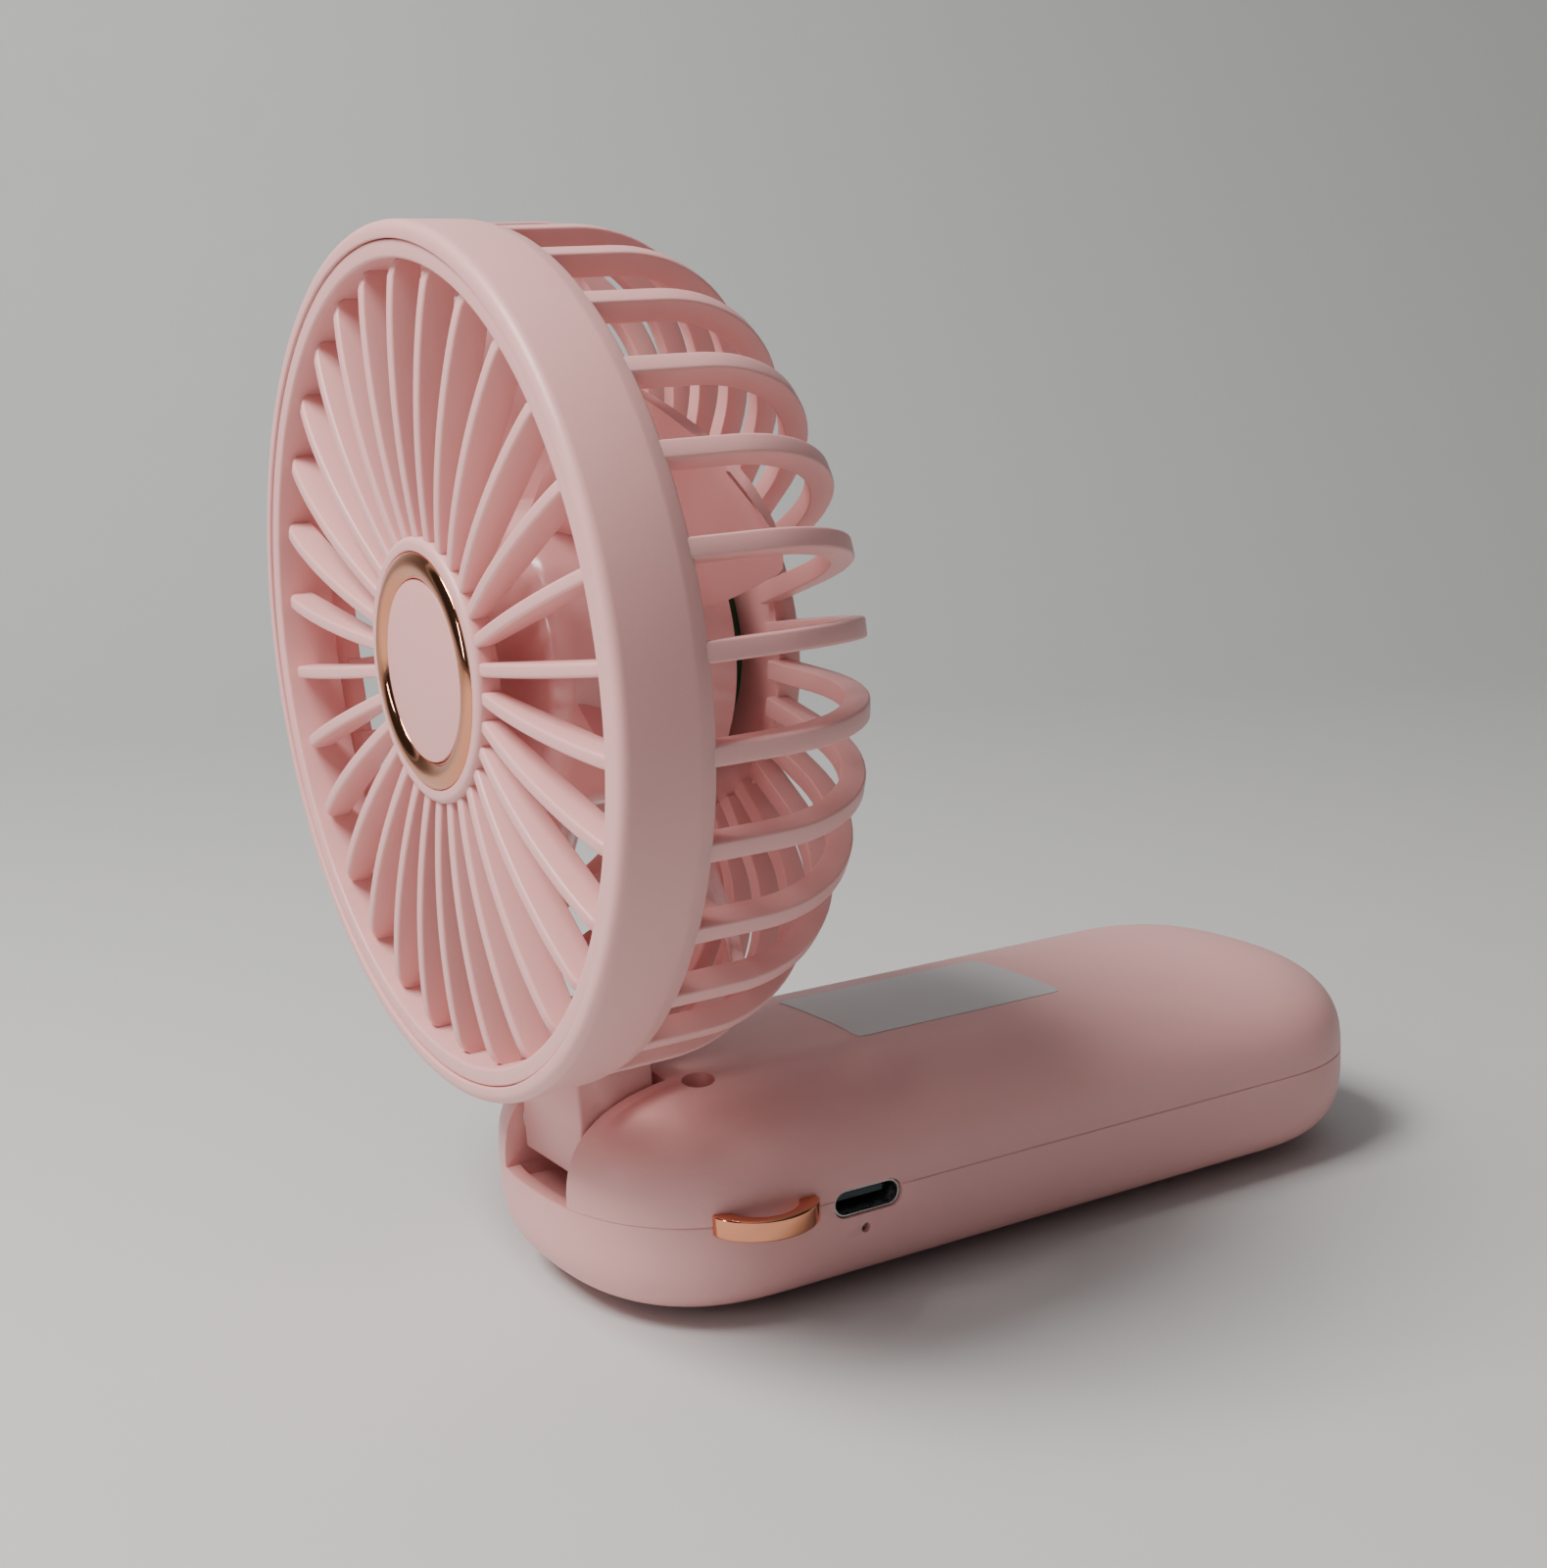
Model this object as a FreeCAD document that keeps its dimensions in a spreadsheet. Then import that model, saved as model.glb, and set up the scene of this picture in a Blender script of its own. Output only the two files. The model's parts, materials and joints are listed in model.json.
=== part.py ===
"""Folding handheld fan: a round caged head on a pebble-shaped battery handle.

The fan lies on its handle with the head folded upright, as it stands on a desk.
+X runs along the handle from the hinge to its free end, +Z is up, and the origin is
under the middle of the whole fan, on the surface that it rests on. Millimetres.

The head has a frame of its own: local Z is the fan's axis and points to the rear,
local X points up, and local Y points to the side with the USB-C socket.
"""
import FreeCAD, Part
import Sketcher
import math
import os

Vector = FreeCAD.Vector

# ---------------------------------------------------------------- driving dimensions
DIMENSIONS = {
    # where the head stands over the handle
    "head_x": -61.25, "head_height": 73.8, "head_lean": 1.24,
    # band and seam of the head
    "band_radius": 47.0, "band_rear_radius": 46.3, "band_front": -0.3, "band_rear": 10.1,
    "band_inner_radius": 44.0, "seam_radius": 45.0, "seam_gap": 0.12,
    "band_front_fillet": 1.1, "band_rear_fillet": 0.5, "grille_seat": 6.9,
    # front grille
    "grille_opening": 43.0, "grille_depth": 6.8, "spoke_count": 30, "spoke_width": 1.45,
    "spoke_root_front": 0.85, "spoke_middle_front": 0.0, "spoke_tip_front": 1.25,
    "spoke_root_rear": 3.2, "spoke_tip_rear": 4.3, "grille_twist": -0.5,
    "grille_hub_radius": 14.4, "grille_hub_front": 0.55, "grille_hub_rear": 3.2,
    "medallion_seat": 1.5, "grille_round": 0.28,
    # rose-gold ring and blank cap in the middle of the grille
    "ring_outer_radius": 12.8, "ring_inner_radius": 9.95, "ring_crest": 0.95, "ring_lip": 0.35,
    "cap_radius": 9.85, "cap_thickness": 0.9,
    # rear cage
    "rib_count": 30, "rib_width": 2.1, "rib_depth": 2.6, "rib_start": 8.6, "rib_slope": 0.12,
    "rib_hub_rear": 34.5, "rib_bend": 18.0, "hub_radius": 20.0,
    "hub_rear": 36.0, "hub_wall": 1.6, "web_front": 33.0, "web_thickness": 1.6,
    "hub_cap_thickness": 1.5, "channel_width": 9.0, "channel_depth": 4.0,
    "channel_radius": 46.6,
    # neck and hinge
    "hinge_x": -45.85, "hinge_height": 19.0, "neck_half_width": 7.6, "neck_front": 3.1,
    "neck_rear": 6.4, "neck_below": 3.3, "neck_top": 11.9, "neck_round": 5.0, "pin_radius": 2.0,
    "pin_play": 0.04, "pin_end": 10.8, "far_pin_start": 1.6, "near_pin_start": 3.2,
    "tube_bore_radius": 1.2, "washer_radius": 3.0, "washer_thickness": 0.38,
    "pin_boss_radius": 3.6, "stop_gap": 0.1, "stop_rise": 3.7,
    "lead_radius": 1.0, "lead_bore_radius": 1.3,
    # motor
    "shaft_radius": 1.0, "shaft_play": 0.03, "shaft_front": 11.0, "shaft_rear": 31.6,
    "bearing_radius": 2.5, "bearing_width": 2.3, "front_bearing": 15.4, "rear_bearing": 27.4,
    "sleeve_radius": 3.3, "sleeve_front": 15.2, "core_radius": 9.0, "core_front": 17.0,
    "core_rear": 25.0, "pole_count": 6, "pole_width": 3.0, "pole_shoe": 1.2, "coil_wall": 1.3,
    "magnet_inner_radius": 9.35, "magnet_front": 15.4,
    "magnet_rear": 26.6, "cup_radius": 12.0, "cup_front": 13.2, "cup_wall": 0.8,
    "driver_radius": 12.5, "driver_front": 31.9, "driver_thickness": 1.0,
    "clip_radius": 2.3, "clip_thickness": 0.4,
    # impeller
    "impeller_hub_radius": 17.2, "impeller_wall": 1.6, "impeller_front": 8.2, "impeller_rear": 29.6,
    "blade_count": 5, "blade_tip_radius": 41.8, "blade_thickness": 1.3,
    "blade_room_rear": 31.0, "blade_room_round": 13.5, "blade_phase": 50,
    "blade_middle": 18.3,
    # handle shells
    "handle_tip_x": -52.06, "handle_length": 114.6, "handle_half_width": 24.5,
    "handle_end": 21.5, "plan_power": 2.47, "parting_height": 13.4,
    "back_rise": 12.4, "back_power": 2.7, "face_drop": 13.4, "face_power": 3.4,
    "shell_wall": 1.8, "rim_bevel": 0.18, "flat_share": 0.4,
    "slot_half_width": 8.1, "slot_end": 7.6, "slot_floor": 11.9,
    "liner_wall": 1.6,
    "case_screw_x": -35.25, "case_screw_y": 10.3, "screw_recess_radius": 1.9,
    "screw_seat_height": 20.5, "screw_radius": 1.0, "screw_head_radius": 1.75,
    "screw_head_height": 1.4, "screw_length": 9.0, "boss_radius": 2.9,
    "screw_clearance": 0.15, "screw_bite": 0.1, "screw_tap_depth": 6.0,
    "drive_length": 2.2, "drive_width": 0.5, "drive_depth": 0.7,
    # socket, light and board
    "usb_x": -22.15, "usb_height": 12.7, "usb_cut_width": 9.2, "usb_cut_height": 3.3,
    "usb_shell_width": 8.94, "usb_shell_height": 3.16, "usb_wall": 0.3, "usb_length": 7.3,
    "usb_setback": 0.35, "usb_cut_start": -30.0,
    "usb_cut_end": -18.0, "tongue_base": 1.2, "usb_back_wall": 1.0,
    "tongue_width": 6.7, "tongue_height": 0.7, "tongue_length": 4.4,
    "led_x": -22.5, "led_height": 9.35, "led_radius": 0.6,
    "board_x": -34.5, "board_length": 23.0, "board_half_width": 17.0, "board_thickness": 1.0,
    "board_screw_x": -14.5, "board_screw_y": 13.0,
    "guide_inset": 0.9, "guide_length": 4.6, "guide_play": 0.05, "led_width": 2.0,
    "led_depth": 1.0, "led_drop": 1.5,
    "chip_first": -30.0, "chip_spacing": 6.5, "chip_size": 4.2, "chip_height": 1.4,
    "board_edge_width": 11.0, "board_edge_reach": 19.6, "board_hole_radius": 0.75,
    "board_screw_radius": 0.7, "board_screw_length": 4.0, "board_screw_head_radius": 1.5,
    "board_screw_head_height": 0.9, "post_radius": 2.4,
    # power button and its switch
    "button_x": -20.0, "button_radius": 5.5, "button_gap": 0.15, "button_recess": 0.35,
    "button_flange": 6.6, "button_flange_thickness": 1.0, "switch_size": 5.2,
    "switch_height": 3.1, "plunger_radius": 1.1,
    "plunger_play": 0.05, "plunger_stand": 0.9, "plunger_length": 1.3, "plunger_travel": 0.7,
    "button_lift": 0.05, "button_stem_radius": 1.6, "button_dish_radius": 30.0,
    "button_dish_depth": 0.25,
    # battery
    "cell_radius": 9.2, "cell_length": 65.0, "cell_x": -8.8, "cell_height": 11.8,
    "cell_play": 0.15, "cell_groove_start": 2.6, "cell_groove_width": 0.8,
    "cell_groove_depth": 0.5, "cell_nub_radius": 2.8, "cell_nub_height": 1.0,
    "cradle_front": 12.0, "cradle_rear": 48.0, "cradle_thickness": 1.4,
    "cradle_half_width": 12.0, "cradle_drop": 3.0,
    "tab_thickness": 0.2, "tab_width": 6.0, "battery_lead_radius": 0.7,
    # lanyard bar and label
    "lanyard_x": -35.05, "lanyard_length": 12.2, "lanyard_height": 2.5, "lanyard_z": 13.62,
    "lanyard_bow": 3.9, "lanyard_thickness": 1.3, "lanyard_post": 2.1, "lanyard_root": 1.6,
    "label_x": 2.5, "label_length": 30.5, "label_width": 18.5,
    "label_thickness": 0.12,
}

doc = FreeCAD.newDocument("handheld_fan")
sheet = doc.addObject("Spreadsheet::Sheet", "sizes")
for row, (alias, number) in enumerate(DIMENSIONS.items(), start=1):
    sheet.set(f"A{row}", alias)
    sheet.set(f"B{row}", str(number))
    sheet.setAlias(f"B{row}", alias)
doc.recompute()


class Size:
    """A length that knows both its value and its spreadsheet expression."""

    def __init__(self, value, text):
        self.value = value
        self.text = text

    def combine(self, other, sign, result):
        other = other if isinstance(other, Size) else Size(other, str(other))
        return Size(result(self.value, other.value), f"({self.text} {sign} {other.text})")

    def __add__(self, other):
        return self.combine(other, "+", lambda first, second: first + second)

    def __sub__(self, other):
        return self.combine(other, "-", lambda first, second: first - second)

    def __mul__(self, other):
        return self.combine(other, "*", lambda first, second: first * second)

    def __truediv__(self, other):
        return self.combine(other, "/", lambda first, second: first / second)

    def __neg__(self):
        return Size(-self.value, f"(-1 * {self.text})")


def size(alias):
    """The named cell as a Size, to bind a feature to it."""
    return Size(DIMENSIONS[alias], f"sizes.{alias}")


def mm(alias):
    """The named cell's plain number."""
    return DIMENSIONS[alias]


ZERO = Size(0.0, "0")
HEAD_ROTATION = (FreeCAD.Rotation(Vector(0, 1, 0), 90 - mm("head_lean"))
                 * FreeCAD.Rotation(Vector(0, 0, 1), 180))
HEAD_CENTRE = Vector(mm("head_x"), 0, mm("head_height"))
HEAD = FreeCAD.Placement(HEAD_CENTRE, HEAD_ROTATION)
HINGE = Vector(mm("hinge_x"), 0, mm("hinge_height"))
HINGE_IN_HEAD = HEAD.inverse().multVec(HINGE)
parts = []


# ---------------------------------------------------------------- helpers
def new_body(label, placement=None):
    body = doc.addObject("PartDesign::Body", label)
    body.Label = label
    body.AllowCompound = True
    if placement:
        body.Placement = placement
    parts.append(body)
    return body


def new_shape(label, shape, placement=None):
    """A sub-part whose shape is built here from the sheet's sizes."""
    feature = doc.addObject("Part::Feature", label)
    feature.Label = label
    solids = shape.Solids
    feature.Shape = solids[0] if len(solids) == 1 else Part.makeCompound(solids)
    if placement:
        feature.Placement = placement
    parts.append(feature)
    return feature


def plane_of(body, role):
    return next(item for item in body.Origin.OriginFeatures if item.Role == role)


def new_sketch(body, name, role, offset=None):
    sketch = body.newObject("Sketcher::SketchObject", name)
    sketch.AttachmentSupport = [(plane_of(body, role), "")]
    sketch.MapMode = "FlatFace"
    if offset:
        sketch.AttachmentOffset = FreeCAD.Placement(offset, FreeCAD.Rotation())
    return sketch


def bind(sketch, constraint, text):
    index = sketch.addConstraint(constraint)
    sketch.setExpression(f"Constraints[{index}]", text)


def fix_point(sketch, geometry, point, across, along):
    """Tie a sketch point to the origin by two sizes."""
    if across.value == 0:
        sketch.addConstraint(Sketcher.Constraint("PointOnObject", geometry, point, -2))
    else:
        distance = Sketcher.Constraint("DistanceX", -1, 1, geometry, point, across.value)
        bind(sketch, distance, across.text)
    if along.value == 0:
        sketch.addConstraint(Sketcher.Constraint("PointOnObject", geometry, point, -1))
    else:
        distance = Sketcher.Constraint("DistanceY", -1, 1, geometry, point, along.value)
        bind(sketch, distance, along.text)


def draw_polygon(sketch, corners):
    """A closed outline through corners, each a pair of Sizes."""
    first = sketch.GeometryCount
    count = len(corners)
    for index, (across, along) in enumerate(corners):
        far_across, far_along = corners[(index + 1) % count]
        start = Vector(across.value, along.value, 0)
        end = Vector(far_across.value, far_along.value, 0)
        sketch.addGeometry(Part.LineSegment(start, end))
    for index in range(count):
        following = first + (index + 1) % count
        sketch.addConstraint(Sketcher.Constraint("Coincident", first + index, 2, following, 1))
    for index, (across, along) in enumerate(corners):
        fix_point(sketch, first + index, 1, across, along)


def draw_box(sketch, low_x, low_y, high_x, high_y):
    draw_polygon(sketch, [(low_x, low_y), (high_x, low_y), (high_x, high_y), (low_x, high_y)])


def draw_circle(sketch, across, along, radius):
    centre = Vector(across.value, along.value, 0)
    geometry = sketch.addGeometry(Part.Circle(centre, Vector(0, 0, 1), radius.value))
    fix_point(sketch, geometry, 3, across, along)
    bind(sketch, Sketcher.Constraint("Radius", geometry, radius.value), radius.text)


def revolve(body, name, corners):
    """Turn an outline of (radius, height) corners about the body's Z axis."""
    sketch = new_sketch(body, name + "_profile", "XZ_Plane")
    draw_polygon(sketch, corners)
    feature = body.newObject("PartDesign::Revolution", name)
    feature.Profile = sketch
    feature.ReferenceAxis = (sketch, ["V_Axis"])
    feature.Angle = 360
    return feature


def pad(body, name, sketch, length, both_ways=False):
    feature = body.newObject("PartDesign::Pad", name)
    feature.Profile = sketch
    feature.Length = length.value
    feature.setExpression("Length", length.text)
    feature.SideType = "Symmetric" if both_ways else "One side"
    return feature


def pocket(body, name, sketch, length, both_ways=False):
    """Cut a sketch away, and make sure that it really removed material."""
    doc.recompute()
    before = body.Shape.Volume
    feature = body.newObject("PartDesign::Pocket", name)
    feature.Profile = sketch
    feature.Length = length.value
    feature.setExpression("Length", length.text)
    feature.SideType = "Symmetric" if both_ways else "One side"
    doc.recompute()
    if not body.Shape.Volume < before - 0.01:
        raise RuntimeError(f"{name} cuts nothing")
    return feature


def edges_where(shape, test):
    """Names of the edges whose middle passes a test."""
    names = []
    for index, edge in enumerate(shape.Edges, start=1):
        if test(edge, edge.valueAt((edge.FirstParameter + edge.LastParameter) / 2)):
            names.append(f"Edge{index}")
    return names


def fillet(body, name, test, radius):
    """Round the edges of the body's latest shape that pass a test."""
    doc.recompute()
    base = body.Tip
    names = edges_where(base.Shape, test)
    if not names:
        raise RuntimeError(f"{name} finds no edge")
    feature = body.newObject("PartDesign::Fillet", name)
    feature.Base = (base, names)
    feature.Radius = radius.value
    feature.setExpression("Radius", radius.text)
    doc.recompute()
    return feature


def on_circle(radius, height, tolerance=0.02):
    """A test for round edges of this radius at this height on the Z axis."""

    def test(edge, middle):
        level = abs(middle.z - height) < tolerance
        return level and abs(math.hypot(middle.x, middle.y) - radius) < tolerance

    return test


def turned(label, corners, placement):
    """A sub-part that is one turned profile."""
    body = new_body(label, placement)
    revolve(body, label + "_turn", corners)
    return body


def ring_profile(inner, outer, low, high):
    return [(inner, low), (outer, low), (outer, high), (inner, high)]


def cylinder(start, direction, radius, length):
    return Part.makeCylinder(radius, length, start, direction)


def box(low, high):
    corner = Vector(*low)
    return Part.makeBox(high[0] - low[0], high[1] - low[1], high[2] - low[2], corner)


def lead(points, bend_radii, radius):
    """A round lead of straight runs joined by tangent arcs."""
    edges = []
    start = points[0]
    for index, bend in enumerate(bend_radii, start=1):
        corner = points[index]
        back = (points[index - 1] - corner).normalize()
        ahead = (points[index + 1] - corner).normalize()
        half_turn = (math.pi - back.getAngle(ahead)) / 2
        reach = bend * math.tan(half_turn)
        bisector = (back + ahead).normalize()
        middle = corner + bisector * (bend / math.cos(half_turn) - bend)
        arc_start = corner + back * reach
        arc_end = corner + ahead * reach
        if (arc_start - start).Length > 1e-6:
            edges.append(Part.LineSegment(start, arc_start).toShape())
        edges.append(Part.Arc(arc_start, middle, arc_end).toShape())
        start = arc_end
    edges.append(Part.LineSegment(start, points[-1]).toShape())
    path = Part.Wire(edges)
    section = Part.Wire(Part.Circle(points[0], points[1] - points[0], radius).toShape())
    tube = path.makePipeShell([section], True, False)
    expected = math.pi * radius ** 2 * path.Length
    if abs(tube.Volume / expected - 1) > 0.02:
        raise RuntimeError("a lead's volume is not its section times its length")
    return tube


# ---------------------------------------------------------------- handle outline
CENTRE_START = mm("handle_tip_x") + mm("handle_end")
CENTRE_END = mm("handle_tip_x") + mm("handle_length") - mm("handle_end")


def side_reach(x):
    """Half width of the handle's plan outline at x."""
    past = max(CENTRE_START - x, x - CENTRE_END, 0) / mm("handle_end")
    power = mm("plan_power")
    return mm("handle_half_width") * (1 - min(past, 1) ** power) ** (1 / power)


def plan_wire(half_width, end_reach, height):
    """The handle's plan outline at one height: straight sides and superelliptic ends."""
    steps = 12
    power = 2 / mm("plan_power")
    angles = [math.pi / 2 - math.pi * step / steps for step in range(steps + 1)]

    def end_curve(centre, outward):
        points = []
        for angle in angles:
            along = abs(math.cos(angle)) ** power * end_reach * outward
            across = math.copysign(abs(math.sin(angle)) ** power, math.sin(angle)) * half_width
            points.append(Vector(centre + along, across * outward, height))
        curve = Part.BSplineCurve()
        tangent = Vector(outward, 0, 0)
        curve.interpolate(Points=points, InitialTangent=tangent, FinalTangent=-tangent)
        return curve, points

    far_curve, far_points = end_curve(CENTRE_END, 1)
    tip_curve, tip_points = end_curve(CENTRE_START, -1)
    near_side = Part.LineSegment(far_points[-1], tip_points[0])
    far_side = Part.LineSegment(tip_points[-1], far_points[0])
    curves = [far_curve, near_side, tip_curve, far_side]
    return Part.Wire([curve.toShape() for curve in curves])


def half_pebble(rise, power, inset, direction):
    """One half of the pebble: plan outlines that shrink along a superelliptic side."""
    half_width = mm("handle_half_width") - inset
    end_reach = mm("handle_end") - inset
    height = rise - inset
    parting = mm("parting_height")
    bevel = mm("rim_bevel") if inset == 0 else 0
    last_angle = math.acos(mm("flat_share") ** (power / 2))
    last_lift = math.sin(last_angle) ** (2 / power)
    steps = 8
    wires = []
    for step in range(steps + 1):
        angle = last_angle * step / steps
        share = math.cos(angle) ** (2 / power)
        lift = math.sin(angle) ** (2 / power) / last_lift * (height - bevel) + bevel
        wires.append(plan_wire(half_width * share, end_reach * share, parting + direction * lift))
    solid = Part.makeLoft(wires, True, False)
    if bevel:
        rim = plan_wire(half_width - bevel, end_reach - bevel, parting)
        solid = solid.fuse(Part.makeLoft([rim, wires[0]], True, True))
    return solid


def case_screw_spots():
    return [(mm("case_screw_x"), side * mm("case_screw_y")) for side in (-1, 1)]


def slot_void(low, high):
    """The space that the neck swings through, open at the handle's tip."""
    half = mm("slot_half_width")
    start = mm("handle_tip_x") - 5
    return box((start, -half, low), (HINGE.x + mm("slot_end"), half, high))


def slot_liner(low, high):
    """The block that becomes the slot's side walls and end wall."""
    half = mm("slot_half_width") + mm("liner_wall")
    end = HINGE.x + mm("slot_end") + mm("liner_wall")
    return box((mm("handle_tip_x") - 5, -half, low), (end, half, high))


def usb_cut(width, height, start_y, end_y):
    """A slot with round ends, as wide and high as given, along Y."""
    radius = height / 2
    half = width / 2 - radius
    middle = box((mm("usb_x") - half, start_y, mm("usb_height") - radius),
                 (mm("usb_x") + half, end_y, mm("usb_height") + radius))
    ends = [cylinder(Vector(mm("usb_x") + side * half, start_y, mm("usb_height")),
                     Vector(0, 1, 0), radius, end_y - start_y) for side in (-1, 1)]
    return middle.fuse(ends)


def socket_opening():
    """The hole in the handle's side that a charging plug goes into."""
    return usb_cut(mm("usb_cut_width"), mm("usb_cut_height"), mm("usb_cut_start"),
                   mm("usb_cut_end"))


# ---------------------------------------------------------------- handle parts
def make_back_shell(lanyard):
    """Upper half, with the ears that hold the hinge pins and two screw recesses."""
    outer = half_pebble(mm("back_rise"), mm("back_power"), 0, 1)
    inner = half_pebble(mm("back_rise"), mm("back_power"), mm("shell_wall"), 1)
    parting = mm("parting_height")
    ceiling = parting + mm("back_rise") + 5
    shell = outer.cut(inner)
    extras = [slot_liner(parting, ceiling)]
    for x, y in case_screw_spots():
        low = Vector(x, y, parting)
        extras.append(cylinder(low, Vector(0, 0, 1), mm("boss_radius"), ceiling - parting))
    boss_start = HINGE - Vector(0, mm("pin_end"), 0)
    extras.append(cylinder(boss_start, Vector(0, 1, 0), mm("pin_boss_radius"),
                           2 * mm("pin_end")))
    shell = shell.fuse([extra.common(outer) for extra in extras])
    cuts = [slot_void(parting - 1, ceiling)]
    for x, y in case_screw_spots():
        seat = Vector(x, y, mm("screw_seat_height"))
        cuts.append(cylinder(seat, Vector(0, 0, 1), mm("screw_recess_radius"), ceiling - seat.z))
        low = Vector(x, y, parting - 1)
        cuts.append(cylinder(low, Vector(0, 0, 1), mm("screw_radius") + mm("screw_clearance"),
                             ceiling - low.z))
    cuts.append(cylinder(boss_start, Vector(0, 1, 0), mm("pin_radius"), 2 * mm("pin_end")))
    cuts.append(socket_opening())
    half = mm("slot_half_width")
    stop_x = HINGE.x + mm("neck_rear") + mm("stop_gap")
    stop = box((stop_x, -half, HINGE.z + mm("stop_rise")),
               (HINGE.x + mm("slot_end"), half, ceiling)).common(outer)
    cuts.append(lanyard)
    return new_shape("back_shell", shell.cut(cuts).fuse(stop))


def make_front_shell(lanyard):
    """Lower half, whose flat face the fan rests on, with the button's hole."""
    outer = half_pebble(mm("face_drop"), mm("face_power"), 0, -1)
    inner = half_pebble(mm("face_drop"), mm("face_power"), mm("shell_wall"), -1)
    parting = mm("parting_height")
    shell = outer.cut(inner)
    tray_low = mm("slot_floor") - mm("liner_wall")
    extras = [slot_liner(tray_low, parting).cut(slot_void(mm("slot_floor"), parting + 1))]
    for x, y in case_screw_spots():
        extras.append(cylinder(Vector(x, y, 0), Vector(0, 0, 1), mm("boss_radius"), parting))
    board_low = board_bottom()
    for side in (-1, 1):
        post = Vector(mm("board_screw_x"), side * mm("board_screw_y"), 0)
        extras.append(cylinder(post, Vector(0, 0, 1), mm("post_radius"), board_low))
    cradle_half = mm("cradle_half_width")
    cradle_top = mm("cell_height") - mm("cradle_drop")
    for reach in ("cradle_front", "cradle_rear"):
        x = mm("cell_x") + mm(reach)
        extras.append(box((x, -cradle_half, 0),
                          (x + mm("cradle_thickness"), cradle_half, cradle_top)))
    shell = shell.fuse([extra.common(outer) for extra in extras])
    cell_start = Vector(mm("cell_x"), 0, mm("cell_height"))
    cell_room = mm("cell_radius") + mm("cell_play")
    cuts = [cylinder(cell_start, Vector(1, 0, 0), cell_room, mm("cell_length")),
            socket_opening(), lanyard]
    for x, y in case_screw_spots():
        low = Vector(x, y, parting - mm("screw_tap_depth"))
        cuts.append(cylinder(low, Vector(0, 0, 1), mm("screw_radius") - mm("screw_bite"),
                             mm("screw_tap_depth") + 1))
    for side in (-1, 1):
        low = Vector(mm("board_screw_x"), side * mm("board_screw_y"),
                     board_low - mm("board_screw_length"))
        cuts.append(cylinder(low, Vector(0, 0, 1), mm("board_screw_radius"),
                             mm("board_screw_length") + 2))
    button_hole = Vector(mm("button_x"), 0, -1)
    hole_radius = mm("button_radius") + mm("button_gap")
    cuts.append(cylinder(button_hole, Vector(0, 0, 1), hole_radius, 6))
    led_start = Vector(mm("led_x"), mm("usb_cut_start"), mm("led_height"))
    cuts.append(cylinder(led_start, Vector(0, 1, 0), mm("led_radius"), 12))
    return new_shape("front_shell", shell.cut(cuts))


def board_bottom():
    """Underside of the main board: the socket's shell sits on its top."""
    return mm("usb_height") - mm("usb_shell_height") / 2 - mm("board_thickness")


def make_case_screws():
    """Two self-tapping screws that pull the shells together."""
    screws = []
    half_length = mm("drive_length") / 2
    half_width = mm("drive_width") / 2
    for x, y in case_screw_spots():
        seat = Vector(x, y, mm("screw_seat_height"))
        shank_start = seat - Vector(0, 0, mm("screw_length"))
        shank = cylinder(shank_start, Vector(0, 0, 1),
                         mm("screw_radius") - mm("screw_bite"), mm("screw_length"))
        head = cylinder(seat, Vector(0, 0, 1), mm("screw_head_radius"), mm("screw_head_height"))
        screw = shank.fuse(head)
        height = seat.z + mm("screw_head_height")
        for turn in (0, 90):
            slot = box((-half_length, -half_width, height - mm("drive_depth")),
                       (half_length, half_width, height + 1))
            slot.rotate(Vector(0, 0, 0), Vector(0, 0, 1), turn)
            slot.translate(Vector(x, y, 0))
            screw = screw.cut(slot)
        screws.append(screw)
    return new_shape("case_screws", Part.makeCompound(screws))


def make_board_screws():
    """Two small screws that hold the main board on its posts."""
    screws = []
    top = board_bottom() + mm("board_thickness")
    for side in (-1, 1):
        seat = Vector(mm("board_screw_x"), side * mm("board_screw_y"), top)
        shank_start = seat - Vector(0, 0, mm("board_screw_length"))
        shank = cylinder(shank_start, Vector(0, 0, 1), mm("board_screw_radius"),
                         mm("board_screw_length"))
        head = cylinder(seat, Vector(0, 0, 1), mm("board_screw_head_radius"),
                        mm("board_screw_head_height"))
        screws.append(shank.fuse(head))
    return new_shape("board_screws", Part.makeCompound(screws))


def make_main_board():
    """Charge and speed control board, cut round the screw bosses."""
    low = board_bottom()
    start = mm("board_x")
    half = mm("board_half_width")
    top = low + mm("board_thickness")
    board = box((start, -half, low), (start + mm("board_length"), half, top))
    cuts = []
    for x, y in case_screw_spots():
        cuts.append(cylinder(Vector(x, y, 0), Vector(0, 0, 1), mm("boss_radius") + 0.3, top + 1))
    for side in (-1, 1):
        hole = Vector(mm("board_screw_x"), side * mm("board_screw_y"), 0)
        cuts.append(cylinder(hole, Vector(0, 0, 1), mm("board_hole_radius"), top + 1))
    chips = []
    chip_half = mm("chip_size") / 2
    for index in range(3):
        x = mm("chip_first") + index * mm("chip_spacing")
        chips.append(box((x - chip_half, -chip_half, top),
                         (x + chip_half, chip_half, top + mm("chip_height"))))
    edge_half = mm("board_edge_width") / 2
    edge = box((mm("usb_x") - edge_half, -mm("board_edge_reach"), low),
               (mm("usb_x") + edge_half, -half, top))
    return new_shape("main_board", board.fuse(chips + [edge]).cut(cuts))


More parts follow.
